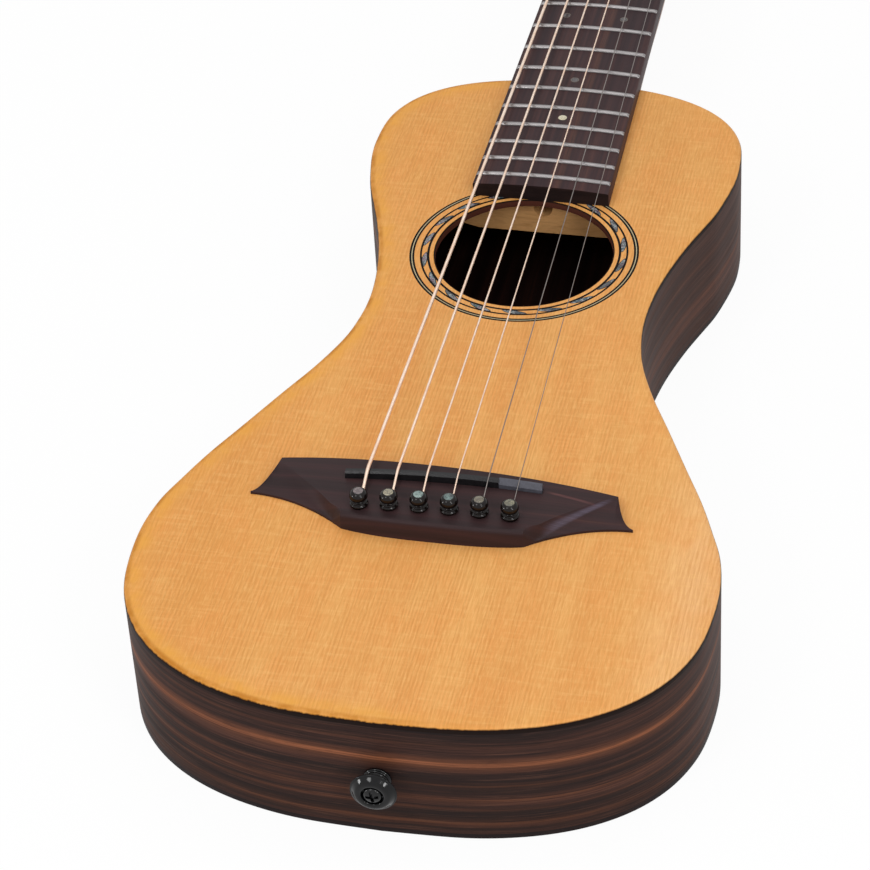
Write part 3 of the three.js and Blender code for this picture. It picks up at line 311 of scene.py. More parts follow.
def dark_wood(name, along, shades, streaks=(), spec=0.22, marks=()):
    """Oiled near-black rosewood, its grain on X where along is 0 and on Y where it is 1.

    Streaks are brown lines with the grain, (place, half width, strength). Marks are lines between two points,
    (start, end, half width, colour, strength).
    """
    mark_fade = 0.006
    look = Look(name, rough=0.48, Specular_IOR_Level=spec)
    x, y, z = look.split(look.where())
    u, v = (x, y) if along == 0 else (y, x)
    bend = look.flat(u, v, 7.0, 25.0)
    level = look.times_plus(bend, 0.005, look.times_plus(z, 0.8, v))
    bands = look.flat(u, level, 4.0, 210.0, 3.0, 0.6)
    fine = look.flat(u, level, 45.0, 1900.0, 3.0, 0.65)
    tone = look.ramp(look.times_plus(look.minus(fine, 0.5), 0.35, bands), *zip((0.32, 0.48, 0.62, 0.76), shades))
    for middle, reach, strength in streaks:
        near = look.gap(look.times_plus(bend, 0.003, v), middle)
        ragged = look.span(fine, 0.3, 0.62, 0.3 * strength, strength)
        tone = look.blend(look.times(look.span(near, reach, reach * 0.25), ragged), tone, linear(126, 86, 70))
    tone = look.wash(tone, (fine, 0.58, 0.76, 0.5, (20, 15, 16)))
    # Marks carry streaks in the wood and painted highlights.
    for (x0, y0), (x1, y1), reach, rgb, strength in marks:
        near = look.gap(y, look.times_plus(look.minus(x, x0), (y1 - y0) / (x1 - x0), y0))
        inside = look.times(look.span(x, x0, x0 + mark_fade), look.span(x, x1, x1 - mark_fade))
        ragged = look.span(fine, 0.34, 0.6, strength / 2, strength)
        highlight_and_streak = look.times(look.span(near, reach, reach * 0.15), ragged)
        tone = look.blend(look.times(highlight_and_streak, inside), tone, linear(*rgb))
    return look.done(tone, look.span(fine, 0.25, 0.75, 0.4, 0.56), fine, 0.16, 0.0001)


def mahogany():
    look = Look("mahogany", rough=0.42, Coat_Weight=0.1, Coat_Roughness=0.25, Specular_IOR_Level=0.25)
    pores = look.grain((2400, 90, 2400), 2.0, 0.6)
    tone = look.ramp(look.grain((120, 4, 120), 3.0, 0.55, 0.4),
                     (0.3, (92, 52, 30)), (0.5, (122, 72, 43)), (0.7, (146, 90, 56)))
    tone = look.wash(tone, (pores, 0.58, 0.75, 0.55, (58, 32, 20)))
    return look.done(tone, look.span(pores, 0.2, 0.8, 0.32, 0.46), pores, 0.1, 0.00008)


def pale_wood():
    look = Look("pale_wood", rough=0.68)
    fuzz = look.grain((300, 1900, 1900), 3.0, 0.6)
    tone = look.ramp(look.grain((70, 420, 420), 3.0, 0.6, 0.5),
                     (0.3, (198, 144, 86)), (0.55, (214, 162, 104)), (0.75, (184, 130, 74)))
    return look.done(look.wash(tone, (fuzz, 0.5, 0.8, 0.3, (150, 110, 66))), None, fuzz, 0.2, 0.0001)


def shell(name, stops, size=330.0, veins=0.75, shade=0.0):
    """Polished sea shell: patches of colour from the stops, dark growth lines and shaded parts."""
    look = Look(name, rough=0.2, Coat_Weight=0.3, Coat_Roughness=0.05, Specular_IOR_Level=0.5)
    place = look.where()
    growth = look.noise(place, size * 2.4, 3.0, 0.65, 2.5)
    tone = look.ramp(look.noise(place, size, 3.0, 0.6, 0.9), *stops)
    tone = look.wash(tone, (look.noise(place, size * 0.35), 0.45, 0.6, shade, (30, 26, 30)),
                     (growth, 0.5, 0.62, veins, (24, 26, 32)))
    return look.done(tone, None, growth, 0.08, 0.00005)


def gloss(name, colour, rough=0.18, spec=0.3):
    """Smooth moulded or plated surface with fine wear in its gloss."""
    look = Look(name, rough=rough, Specular_IOR_Level=spec)
    wear = look.noise(look.where(), 700.0, 4.0, 0.7)
    tone = look.wash(linear(*colour), (wear, 0.35, 0.75, 0.35, [v * 1.3 + 6 for v in colour]))
    return look.done(tone, look.span(wear, 0.3, 0.8, rough, rough + 0.14), wear, 0.06, 0.00003)


def metal(name, colour, rough=0.3, grain=(900, 900, 900)):
    look = Look(name, rough=rough, metal=1.0)
    brushed = look.grain(grain, 3.0, 0.65)
    tone = look.wash(linear(*colour), (brushed, 0.3, 0.75, 1.0, [v * 0.82 for v in colour]))
    return look.done(tone, look.span(brushed, 0.25, 0.8, rough, rough + 0.16), brushed, 0.05, 0.00003)


def wound(name, pitch):
    """Bronze wire wound round a core: u runs round the string and v along it."""
    look = Look(name, rough=0.3, metal=1.0)
    u, v, _ = look.split(look.where("UV"))
    phase = look.times(look.math("ADD", look.math("DIVIDE", v, pitch * MM), u), 2 * pi)
    ridge = look.times_plus(look.math("SINE", phase), 0.5, 0.5)
    # The grooves between the turns are painted darker: painted shade.
    tone = look.wash(linear(255, 237, 220), (look.flat(v, u, 160.0, 1.0, 3.0), 0.3, 0.75, 1.0, (246, 214, 190)),
                     (ridge, 0.45, 0.0, 0.75, (156, 112, 88)))
    return look.done(tone, None, ridge, 0.5, 0.00008)


SPRUCE = spruce()
RIB_WOOD = striped("rib_ebony", streaks=[(0.0362, 0.0018, 0.85), (0.045, 0.0009, 0.16), (0.0258, 0.0009, 0.22),
                                         (0.0188, 0.0012, 0.3), (0.0142, 0.0009, 0.2), (0.0072, 0.0016, 0.26)])
BACK_WOOD = striped("back_ebony", "Object", 1, 0)
BACK_EDGE = dark_wood("back_edge", 0, [(30, 23, 23), (33, 25, 25), (37, 28, 27), (44, 33, 30)], spec=0.06)
# The back's inner face is painted near black: painted shade inside the body.
INNER_SHADE_WOOD = dark_wood("inner_ebony_painted_shade", 1, [(20, 12, 11), (28, 16, 14), (38, 21, 17), (52, 29, 23)], spec=0.05)
HEAD_WOOD = striped("head_ebony", "Object", 1, 0)
# The bridge's first mark is a painted highlight along the treble wing's ridge; the second is a reddish streak in the
# wood.
BRIDGE_WOOD = dark_wood("bridge_rosewood", 0, [(43, 31, 32), (50, 35, 36), (57, 38, 39), (69, 46, 43)], spec=0.14,
                        marks=[((0.038, -0.0204), (0.062, 0.0026), 0.0015, (100, 92, 108), 0.62),
                               ((0.036, -0.0012), (0.057, -0.0034), 0.0009, (122, 78, 76), 0.45)])
BOARD_WOOD = dark_wood("board_rosewood", 1, [(46, 35, 38), (58, 42, 44), (74, 51, 50), (96, 65, 58)],
                       [(0.0085, 0.002, 0.28)], spec=0.12)
BOARD_TIP = dark_wood("board_tip", 0, [(28, 21, 20), (36, 27, 26), (44, 32, 31), (56, 40, 37)], spec=0.06)
MAHOGANY = mahogany()
PALE = pale_wood()
SHELL = shell("abalone", [(0.3, (28, 32, 40)), (0.39, (78, 114, 122)), (0.45, (38, 42, 58)), (0.52, (182, 190, 186)),
                          (0.57, (66, 58, 76)), (0.63, (160, 126, 142)), (0.69, (90, 126, 118)), (0.78, (30, 32, 38))],
              400.0, 0.85, 0.75)
PIN_TONES = [((150, 144, 116), (88, 88, 72)), ((178, 168, 138), (110, 98, 84)), ((118, 142, 136), (54, 72, 74)),
             ((160, 180, 172), (100, 124, 122)), ((178, 170, 142), (112, 104, 90)), ((160, 144, 142), (104, 90, 94))]
PIN_SHELL = {n: shell(f"pin_shell_{n}", [(0.35, dark), (0.52, pale), (0.62, dark), (0.7, pale)], 600.0, 0.75, 0.5)
             for n, (pale, dark) in enumerate(PIN_TONES, 1)}
PEARL = shell("pearl", [(0.3, (196, 186, 156)), (0.7, (228, 220, 192))], 300.0, 0.3)
# The dots at frets 12 and 15 are the same shell as the bright ones, painted dark: painted shade.
SHADED_PEARL = shell("shaded_pearl", [(0.3, (58, 50, 52)), (0.7, (84, 78, 80))], 300.0, 0.5)
LINE_BLACK = gloss("line_black", (13, 11, 10), 0.5, spec=0.06)
LINE_PALE = gloss("line_pale", (176, 164, 130), 0.4)
LINE_DIM = gloss("line_dim", (98, 90, 84), 0.4)
PIN_BLACK = gloss("pin_black", (15, 10, 9), 0.06, spec=0.24)
SADDLE_BLACK = gloss("saddle_black", (22, 21, 23), 0.34)
# The saddle's treble step is painted lighter grey where its bevel catches light: a painted highlight.
SADDLE_LIT = gloss("saddle_painted_highlight", (74, 74, 82), 0.4)
HARDWARE = gloss("black_hardware", (5, 5, 6), 0.06, spec=0.26)
SCREW = gloss("screw_black", (9, 9, 10), 0.12, spec=0.34)
FRET = metal("fret_metal", (150, 146, 146), 0.3, (40, 2500, 2500))
STEEL = metal("plain_string", (142, 134, 130), 0.28, (1500, 20, 1500))
ROD_STEEL = metal("rod_steel", (120, 120, 122), 0.35)
WOUND = {n: wound(f"wound_{n}", pitch) for n, pitch in zip((3, 4, 5, 6), (0.24, 0.3, 0.38, 0.48))}


# ---- mesh helpers: a shape is (points, faces)
@contextmanager
def editing(mesh):
    work = bmesh.new()
    work.from_mesh(mesh)
    yield work
    work.to_mesh(mesh)
    work.free()


def soften(work, sharp):
    """Smooth shading, apart from edges that turn by more than sharp degrees."""
    for face in work.faces:
        face.smooth = True
    for edge in work.edges:
        edge.smooth = len(edge.link_faces) == 2 and edge.calc_face_angle(0.0) < radians(sharp)


def mesh_of(name, shape):
    mesh = bpy.data.meshes.new(name)
    mesh.from_pydata([Vector(v) * MM for v in shape[0]], [], shape[1])
    return mesh


def placed(name, data):
    made = bpy.data.objects.new(name, data)
    bpy.context.scene.collection.objects.link(made)
    return made


def piece(name, shape, material, replaces=(), body="guitar", sharp=32, uv=None, rim=None, kinds=None):
    """A mesh piece. kinds gives each face's place in the list of materials; uv and rim go by point."""
    mesh = mesh_of(name, shape)
    for one in material if isinstance(material, (list, tuple)) else [material]:
        mesh.materials.append(one)
    if kinds:
        mesh.polygons.foreach_set("material_index", kinds)
    if uv:
        layer = mesh.uv_layers.new(name="UVMap")
        for loop in mesh.loops:
            layer.data[loop.index].uv = uv[loop.vertex_index]
    if rim:
        mesh.attributes.new("rim", "FLOAT", "POINT").data.foreach_set("value", rim)
    with editing(mesh) as work:
        bmesh.ops.recalc_face_normals(work, faces=work.faces)
        soften(work, sharp)
    made = placed(name, mesh)
    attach(made, body)
    if replaces:
        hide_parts(*replaces)
    return made


def carve(made, *cutters, sharp=32):
    """Cuts closed shapes out of a piece."""
    for shape in cutters:
        mesh = mesh_of("cutter", shape)
        with editing(mesh) as work:
            bmesh.ops.recalc_face_normals(work, faces=work.faces)
        tool = placed("cutter", mesh)
        step = made.modifiers.new("cut", "BOOLEAN")
        step.object, step.operation, step.solver = tool, "DIFFERENCE", "EXACT"
        bpy.context.view_layer.update()
        result = bpy.data.meshes.new_from_object(made.evaluated_get(bpy.context.evaluated_depsgraph_get()))
        made.modifiers.remove(step)
        made.data = result
        bpy.data.objects.remove(tool)
    with editing(made.data) as work:
        soften(work, sharp)


def skin(rings):
    """The closed skin over rings of equally many points."""
    count = len(rings[0])
    verts = [p for ring in rings for p in ring]
    faces = []
    for r in range(len(rings) - 1):
        for i in range(count):
            a, b = r * count + i, r * count + (i + 1) % count
            faces.append((a, b, b + count, a + count))
    return verts, faces + [tuple(range(count)), tuple(range(len(verts) - count, len(verts)))]


def lathe(profile, sides=48, closed=False):
    """Turned about Z from (radius, height) pairs; a closed profile makes a ring."""
    verts, faces, rows = [], [], []
    for radius, height in profile:
        if radius < 1e-6:
            rows.append([len(verts)] * sides)
            verts.append((0.0, 0.0, height))
            continue
        rows.append([len(verts) + i for i in range(sides)])
        verts += circle(radius, 0.0, 0.0, height, sides)
    for low, high in zip(rows, rows[1:] + rows[:1] if closed else rows[1:]):
        for i in range(sides):
            j = (i + 1) % sides
            corner = [low[i], low[j], high[j], high[i]]
            face = [v for k, v in enumerate(corner) if v not in corner[:k]]
            if len(face) > 2:
                faces.append(tuple(face))
    return verts, faces


def rod(radius, low, high, sides=32):
    return lathe([(0, low), (radius, low), (radius, high), (0, high)], sides)


def box(low, high):
    (x0, y0, z0), (x1, y1, z1) = low, high
    return skin([[(x0, y0, z), (x1, y0, z), (x1, y1, z), (x0, y1, z)] for z in (z0, z1)])


def circle(radius, x, y, z, sides=96):
    turns = [2 * pi * i / sides for i in range(sides)]
    return [(x + radius * cos(a), y + radius * sin(a), z) for a in turns]


def moved(shape, matrix):
    return [tuple(matrix @ Vector(v)) for v in shape[0]], shape[1]


def together(*shapes):
    verts, faces = [], []
    for more, their in shapes:
        start = len(verts)
        verts += list(more)
        faces += [tuple(i + start for i in face) for face in their]
    return verts, faces


def at(x, y, z):
    return Matrix.Translation((x, y, z))


# The headstock's own frame: its face plane starts at the back of the nut and falls away
HEAD = at(0, NUT_BACK, BODY_DEPTH) @ Matrix.Rotation(-HEAD_TILT, 4, "X")
TO_TAIL = Matrix.Rotation(pi / 2, 4, "X")
TO_SIDE = Matrix.Rotation(pi / 2, 4, "Y")


# ---- outline of the body
def outline_marks():
    steps = 8
    rounded_share = [sin(k / steps * pi / 2) ** (2 / 2.5) for k in range(steps + 1)]
    rising, falling = rounded_share, rounded_share[::-1]
    marks = [(LOWER_HALF * a, LOWER_Y - LOWER_RISE * b) for a, b in zip(rising, falling)]
    marks += [(mix(WAIST_HALF, LOWER_HALF, left), mix(LOWER_Y, WAIST_Y, along)) for along, left in LOWER_FLANK]
    marks.append((WAIST_HALF, WAIST_Y))
    marks += [(mix(WAIST_HALF, UPPER_HALF, left), mix(UPPER_Y, WAIST_Y, along))
              for along, left in reversed(UPPER_FLANK)]
    return marks + [(UPPER_HALF * a, UPPER_Y + UPPER_DROP * b) for a, b in zip(falling, rising)]


def through(marks, parts=24):
    """A smooth curve through marks in the plane, finely sampled."""
    out = []
    last = len(marks) - 1
    for i in range(last):
        around = marks[max(i - 1, 0)], marks[i], marks[i + 1], marks[min(i + 2, last)]
        for k in range(parts):
            t = k / parts
            out.append(tuple(
                (2 * b - 2 * c + (c - a) / 2 + (d - b) / 2) * t ** 3
                + (-3 * b + 3 * c - (c - a) - (d - b) / 2) * t ** 2 + (c - a) / 2 * t + b
                for a, b, c, d in zip(*around)))
    return out + [tuple(marks[last])]


def even(points, count):
    """The same path with count + 1 points at equal distances, and its length."""
    lengths = [0.0]
    for a, b in zip(points, points[1:]):
        lengths.append(lengths[-1] + math.dist(a, b))
    out, i = [], 0
    for k in range(count + 1):
        want = lengths[-1] * k / count
        while i < len(points) - 2 and lengths[i + 1] < want:
            i += 1
        share = clamp((want - lengths[i]) / max(lengths[i + 1] - lengths[i], 1e-9))
        out.append(tuple(mix(a, b, share) for a, b in zip(points[i], points[i + 1])))
    return out, lengths[-1]


HALF_STEPS = 200
half, half_length = even(through(outline_marks()), HALF_STEPS)
half[0] = (0.0, TAIL)
half[-1] = (0.0, HEAD_END)


def inset_half(distance):
    """The treble half of the outline moved inwards, from tail to neck."""
    out = []
    for i, (x, y) in enumerate(half):
        before = half[i - 1] if i else (-half[1][0], half[1][1])
        after = half[i + 1] if i < HALF_STEPS else (-half[-2][0], half[-2][1])
        dx, dy = after[0] - before[0], after[1] - before[1]
        size = math.hypot(dx, dy)
        out.append((x - dy / size * distance, y + dx / size * distance))
    out[0] = (0.0, out[0][1])
    out[-1] = (0.0, out[-1][1])
    return out


def outline(inset, z):
    side = inset_half(inset)
    return [(x, y, z) for x, y in side] + [(-x, y, z) for x, y in reversed(side[1:-1])]


def plate_shape(levels, holes, rims, hole_rims):
    """A plate and its points' rim values. levels are rings from the bottom's edge to the top's inner ring.

    holes are lists of rings; hole_rims goes with the first of them.
    """
    work = bmesh.new()
    values = []

    def ring(points):
        made = [work.verts.new(Vector(p) * MM) for p in points]
        return made, [work.edges.new((v, made[(i + 1) % len(made)])) for i, v in enumerate(made)]

    ends = [], []
    for n, rows in enumerate([levels] + holes):
        rings = [ring(row) for row in rows]
        marks = (rims, hole_rims)[n] if n < 2 else [0.0] * len(rows)
        values += [mark for row, mark in zip(rows, marks) for _ in row]
        for (low, _), (high, _) in zip(rings, rings[1:]):
            for i in range(len(low)):
                j = (i + 1) % len(low)
                work.faces.new((low[i], low[j], high[j], high[i]))
        ends[0].extend(rings[0][1])
        ends[1].extend(rings[-1][1])
    for edges in ends:
        bmesh.ops.triangle_fill(work, edges=edges, use_beauty=True)
    work.verts.index_update()
    work.faces.ensure_lookup_table()
    shape = [tuple(v.co / MM) for v in work.verts], [tuple(v.index for v in face.verts) for face in work.faces]
    work.free()
    return shape, values


# ---- soundboard and rosette
PIN_SPACING, PIN_ROW, PIN_SLANT = 10.94, -18.5, 1.75
PIN_HOLE_R = 2.975
# The rosette's grooves, from inner to outer radius: the leaves' and the lines'
GROOVES = (37.6, 41.4), (43.6, 45.6)
GROOVE_DEPTH = 1.5
RING_SIDES = 144


def pin_x(n):
    return from_middle(n, PIN_SPACING)


def pin_y(n):
    return PIN_ROW + PIN_SLANT * (7 - 2 * n) / 10


def quarter(steps):
    return [pi / 2 * k / steps for k in range(steps + 1)]


def soundboard():
    levels = [outline(0, TOP_UNDER), outline(0, TOP - EDGE - 0.5)]
    levels += [outline(EDGE * (1 - cos(a)), TOP - EDGE + EDGE * sin(a)) for a in quarter(7)]
    levels += [outline(inset, TOP) for inset in (2.6, 4.2, 7.0, 11.0)]
    rims = [2.0, 2.0, 2.0, 1.85, 1.65, 1.5, 1.3, 1.15, 1.06, 1.0, 0.75, 0.5, 0.22, 0.0]
    hole = [(HOLE_R, TOP_UNDER), (HOLE_R, TOP - 0.5), (HOLE_R + 0.15, TOP - 0.15), (HOLE_R + 0.5, TOP),
            (HOLE_R + 0.8, TOP)]
    for inner, outer in GROOVES:
        hole += [(inner, TOP), (inner, TOP - GROOVE_DEPTH), (outer, TOP - GROOVE_DEPTH), (outer, TOP)]
    hole_rims = [3.0, 3.0, 2.6, 1.9] + [0.0] * (len(hole) - 4)
    holes = [[circle(r, 0, HOLE_Y, z, RING_SIDES) for r, z in hole]]
    holes += [[circle(PIN_HOLE_R, pin_x(n), pin_y(n), z, 20) for z in (TOP_UNDER, TOP)] for n in range(1, 7)]
    shape, values = plate_shape(levels, holes, rims, hole_rims)
    piece("top_board", shape, SPRUCE, replaces=["soundboard"], sharp=40, rim=values)


def bands(name, radii, materials, node, slot):
    """Concentric flush rings: radii in order, one material between each two."""
    rings = [moved(lathe([(inner, TOP - GROOVE_DEPTH), (outer, TOP - GROOVE_DEPTH), (outer, TOP), (inner, TOP)],
                         RING_SIDES, True), at(0, HOLE_Y, 0)) for inner, outer in zip(radii, radii[1:])]
    kinds = [k for k, (_, faces) in enumerate(rings) for _ in faces]
    piece(name, together(*rings), materials, replaces=[node], kinds=kinds)


def rosette():
    (leaf_in, leaf_out), (line_in, line_out) = GROOVES
    bands("rosette_outer", (line_in, 44.4, 44.78, line_out), (LINE_BLACK, LINE_PALE, LINE_BLACK),
          "rosette_outer_ring", "black_plastic")
    bands("rosette_lines", (leaf_in, 38.55, 40.6, leaf_out), (LINE_BLACK, SPRUCE, LINE_BLACK),
          "rosette_inner_ring", "abalone")
    leaves, low, high, steps = 18, 38.5, 40.7, 14
    reach = radians(14.5)
    # Leaves of shell on slightly larger black ones: half width, height, and how far their ends and sides are cut
    for name, material, fat, rise, end_cut, side_cut in (("rosette_shell", SHELL, 0.42, 0.05, 0.03, 0.06),
                                                         ("rosette_leaf_lines", LINE_BLACK, 0.56, 0.03, 0.0, 0.0)):
        shapes = []
        for n in range(leaves):
            start = radians(8 + n * 360 / leaves)
            sides = {-1: [], 1: []}
            for k in range(steps + 1):
                t = mix(end_cut, 1 - end_cut, k / steps)
                full = max(sin(pi * t), 0.0) ** 0.6
                angle = start + reach * t
                for side, row in sides.items():
                    radius = mix(low, high, clamp(mix(0.1, 0.9, t) + side * fat * full, side_cut, 1 - side_cut))
                    row.append((radius * cos(angle), HOLE_Y + radius * sin(angle)))
            loop = sides[-1] + sides[1][::-1][1:-1]
            shapes.append(skin([[(x, y, z) for x, y in loop] for z in (TOP - 0.2, TOP + rise)]))
        piece(name, together(*shapes), material)


# ---- ribs and back
def ribs():
    seam = 0.01
    levels = [(0.0, BACK_TOP), (0.0, TOP_UNDER), (RIB, TOP_UNDER), (RIB, BACK_TOP)]
    count = HALF_STEPS + 1
    for side, name in ((-1, "bass"), (1, "treble")):
        verts, uv, faces = [], [], []
        for inset, z in levels:
            for i, (x, y) in enumerate(inset_half(inset)):
                verts.append((max(x, seam) * side, y, z))
                uv.append((half_length * MM * i / HALF_STEPS * side + 1.0, z * MM))
        for k in range(4):
            for i in range(HALF_STEPS):
                a, b = k * count + i, ((k + 1) % 4) * count + i
                faces.append((a, a + 1, b + 1, b))
        for end in (0, HALF_STEPS):
            faces.append(tuple(k * count + end for k in range(4)))
        piece(f"rib_{name}", (verts, faces), RIB_WOOD, replaces=[f"side_{name}"], uv=uv)


def back():
    fillet = 0.8
    arc = [(fillet * (1 - sin(a)), fillet * (1 - cos(a))) for a in quarter(5)]
    shape = skin([outline(0, BACK_TOP)] + [outline(inset, z) for inset, z in reversed(arc)])
    # The inner face gets the wood painted with shade.
    kinds = [2] * (len(shape[1]) - 2) + [1, 0]
    piece("back_board", shape, [BACK_WOOD, INNER_SHADE_WOOD, BACK_EDGE], replaces=["back"],
          sharp=40, kinds=kinds)


# ---- bridge and saddle
BRIDGE_CORNER, BRIDGE_TIP, BRIDGE_BLOCK = 62.7, 70.3, 33.3
BRIDGE_WIDE = 125.4
WING_EDGE = 1.0
SADDLE_Y, SADDLE_CROWN = -2.5, 11.5
SADDLE_LEFT, SADDLE_STEP, SADDLE_RIGHT = -36, 20.4, 36
SADDLE_SLOPE = 2.2 / 72
SADDLE_SPACING = 11.05
PIN_BORE_R = 2.9


def bridge_top(x):
    return mix(8.2, 3.5, min(1, abs(2 * x / BRIDGE_WIDE)) ** 2.2)


def bridge_section(x):
    """The bridge's section at x: base, front edge, flat top, then the rounded edge or the hollow of the wing."""
    def between(low, high):
        return clamp((abs(x) - low) / (high - low))
    bow, wing = between(0, BRIDGE_BLOCK), between(BRIDGE_BLOCK, BRIDGE_TIP)
    horn, ridge = between(BRIDGE_CORNER, BRIDGE_TIP), between(BRIDGE_BLOCK, BRIDGE_CORNER)
    hollow = between(BRIDGE_BLOCK, BRIDGE_BLOCK + 4.0)
    top = mix(bridge_top(x), WING_EDGE, horn)
    round_off = mix(1.5, 2.3, bow ** 5)
    low = mix(top - round_off, WING_EDGE, hollow ** 0.8)
    front = mix(-10.5, 5.3 - 3.1 * x / BRIDGE_WIDE, (1 - horn) ** 2.2)
    rear = mix(-11.1, mix(-27.3, -24.8, bow ** 3), (1 - wing) ** 2)
    crest = min(front - 0.3, max(rear + round_off, mix(-26.0, 4.0, ridge ** 0.82)))
    edge = min(0.5, top / 4)
    near = front - edge * 0.3
    points = [(rear, 0), (front, 0), (front, top - edge), (front - edge * 0.1, top - edge * 0.45), (near, top)]
    points += [(mix(near, crest, (k / 6) ** 0.8), top) for k in range(1, 6)]
    for k in range(13):
        share = 1 - k / 12
        convex = math.sqrt(max(0.0, 1 - (1 - share) ** 2))
        rise = mix(convex, mix(share ** 2.4, ease(share), 0.35), hollow ** 0.6)
        points.append((mix(rear, crest, share), mix(low, top, rise)))
    return [(x, y, z + TOP) for y, z in points]


def saddle_part(name, x0, x1, front_cut, rear_cut, material, place):
    rows = []
    for k in range(25):
        x = mix(x0, x1, k / 24)
        crown = TOP + SADDLE_CROWN - x * x / (2 * BOARD_R)
        profile = [(-1.3, TOP + 3.5), (1.3, TOP + 3.5), (1.3, crown - front_cut), (1.3 - front_cut, crown),
                   (-1.3 + rear_cut, crown), (-1.3, crown - rear_cut)]
        rows.append([tuple(place @ Vector((x, y, z))) for y, z in profile])
    piece(name, skin(rows), material, replaces=["saddle"], sharp=25)


def bridge():
    shares = {round(k / 100, 4) for k in range(101)}
    shares |= {0.4737, 0.476, 0.485, 0.495, 0.8919, 0.895, 0.905, 0.985, 0.995}
    right = [share * BRIDGE_TIP for share in sorted(shares)]
    shape = skin([bridge_section(x) for x in [-x for x in reversed(right[1:])] + right])
    made = piece("bridge_body", shape, BRIDGE_WOOD, replaces=["bridge"], sharp=30)
    with editing(made.data) as work:
        bmesh.ops.remove_doubles(work, verts=work.verts, dist=0.00001)
        bmesh.ops.dissolve_degenerate(work, edges=work.edges, dist=0.00001)
    place = at(0, SADDLE_Y, 0) @ Matrix.Rotation(math.atan(SADDLE_SLOPE), 4, "Z")
    reach, slot_half = SADDLE_RIGHT + 0.2, 1.5
    cuts = [moved(box((-reach, -slot_half, TOP + 3.2), (reach, slot_half, TOP + 20)), place)]
    for n in range(1, 7):
        top = TOP + bridge_top(pin_x(n))
        room = STRINGS[n - 1] / 2 + 0.35
        y = pin_y(n)
        side = [(y, top - 6), (y + 3.0, top - 6), (y + 7.4, top + 0.6), (y, top + 0.6)]
        cuts.append(skin([[(pin_x(n) + s * room, a, b) for a, b in side] for s in (-1, 1)]))
    cuts += [moved(rod(PIN_BORE_R, TOP - 2, TOP + 20), at(pin_x(n), pin_y(n), 0)) for n in range(1, 7)]
    carve(made, *cuts, sharp=30)
    saddle_part("saddle_main", SADDLE_LEFT, SADDLE_STEP, 0.6, 0.7, SADDLE_BLACK, place)
    # The treble step of the saddle carries the painted highlight.
    saddle_part("saddle_step", SADDLE_STEP, SADDLE_RIGHT, 0.3, 1.5, SADDLE_LIT, place)


# (radius, height) as shares of the pin head's own
PIN_PROFILE = [(0.84, 0.0), (0.97, 0.01), (1.02, 0.04), (1.03, 0.09), (1.0, 0.14), (0.9, 0.17), (0.88, 0.2),
               (0.93, 0.23), (0.93, 0.27), (0.86, 0.3), (0.74, 0.32), (0.71, 0.35), (0.76, 0.39), (0.89, 0.43),
               (0.97, 0.5), (1.01, 0.59), (1.01, 0.66), (0.97, 0.75), (0.89, 0.84), (0.79, 0.91), (0.68, 0.955),
               (0.61, 0.97), (0.58, 0.97), (0.565, 0.96), (0, 0.96)]
PIN_DOT = [(0, 0.9), (0.55, 0.9), (0.55, 0.972), (0.42, 0.988), (0, 1.0)]
PIN_HEAD, PIN_TALL = 3.3, 6.3


def pins():
    slit = 0.95
    for n in range(1, 7):
        x, y = pin_x(n), pin_y(n)
        seat = TOP + bridge_top(max(0, abs(x) - 3.4)) + FIT_GAP
        profile = [(0, seat - 27), (1.6, seat - 27), (2.1, seat - 26.4), (2.5, seat)]
        profile += [(r * PIN_HEAD, seat + h * PIN_TALL) for r, h in PIN_PROFILE]
        made = piece(f"pin_{n}", moved(lathe(profile, 40), at(x, y, 0)), PIN_BLACK,
                     replaces=[f"bridge_pin_{n}"], sharp=50)
        carve(made, box((x - slit, y + 1.05, seat - 33), (x + slit, y + 8, seat - 0.1)), sharp=50)
        dot = lathe([(r * PIN_HEAD, seat + h * PIN_TALL) for r, h in PIN_DOT], 32)
        piece(f"pin_dot_{n}", moved(dot, at(x, y, 0)), PIN_SHELL[n], sharp=50)


# ---- fingerboard, frets, nut
def board_half(y):
    return mix(NUT_W, LAST_W, (SCALE_LENGTH - y) / (SCALE_LENGTH - fret_y(FRETS))) / 2


def board_top(x):
    return TOP + BOARD_T - x * x / (2 * BOARD_R)


def arched(y, wide, edge, crown, cut, pull=0.0):
    """A row of points up one side, over the board's arch and down the other side.

    edge and crown are heights above the board's top; cut and pull bring the arch and the sides in.
    """
    across, side = 24, board_top(wide) + edge
    row = [(x * (1 - cut / wide), y, board_top(x) + crown)
           for x in (-wide + 2 * wide * k / across for k in range(across + 1))]
    return [(pull - wide, y, TOP), (pull - wide, y, side)] + row + [(wide - pull, y, side), (wide - pull, y, TOP)]


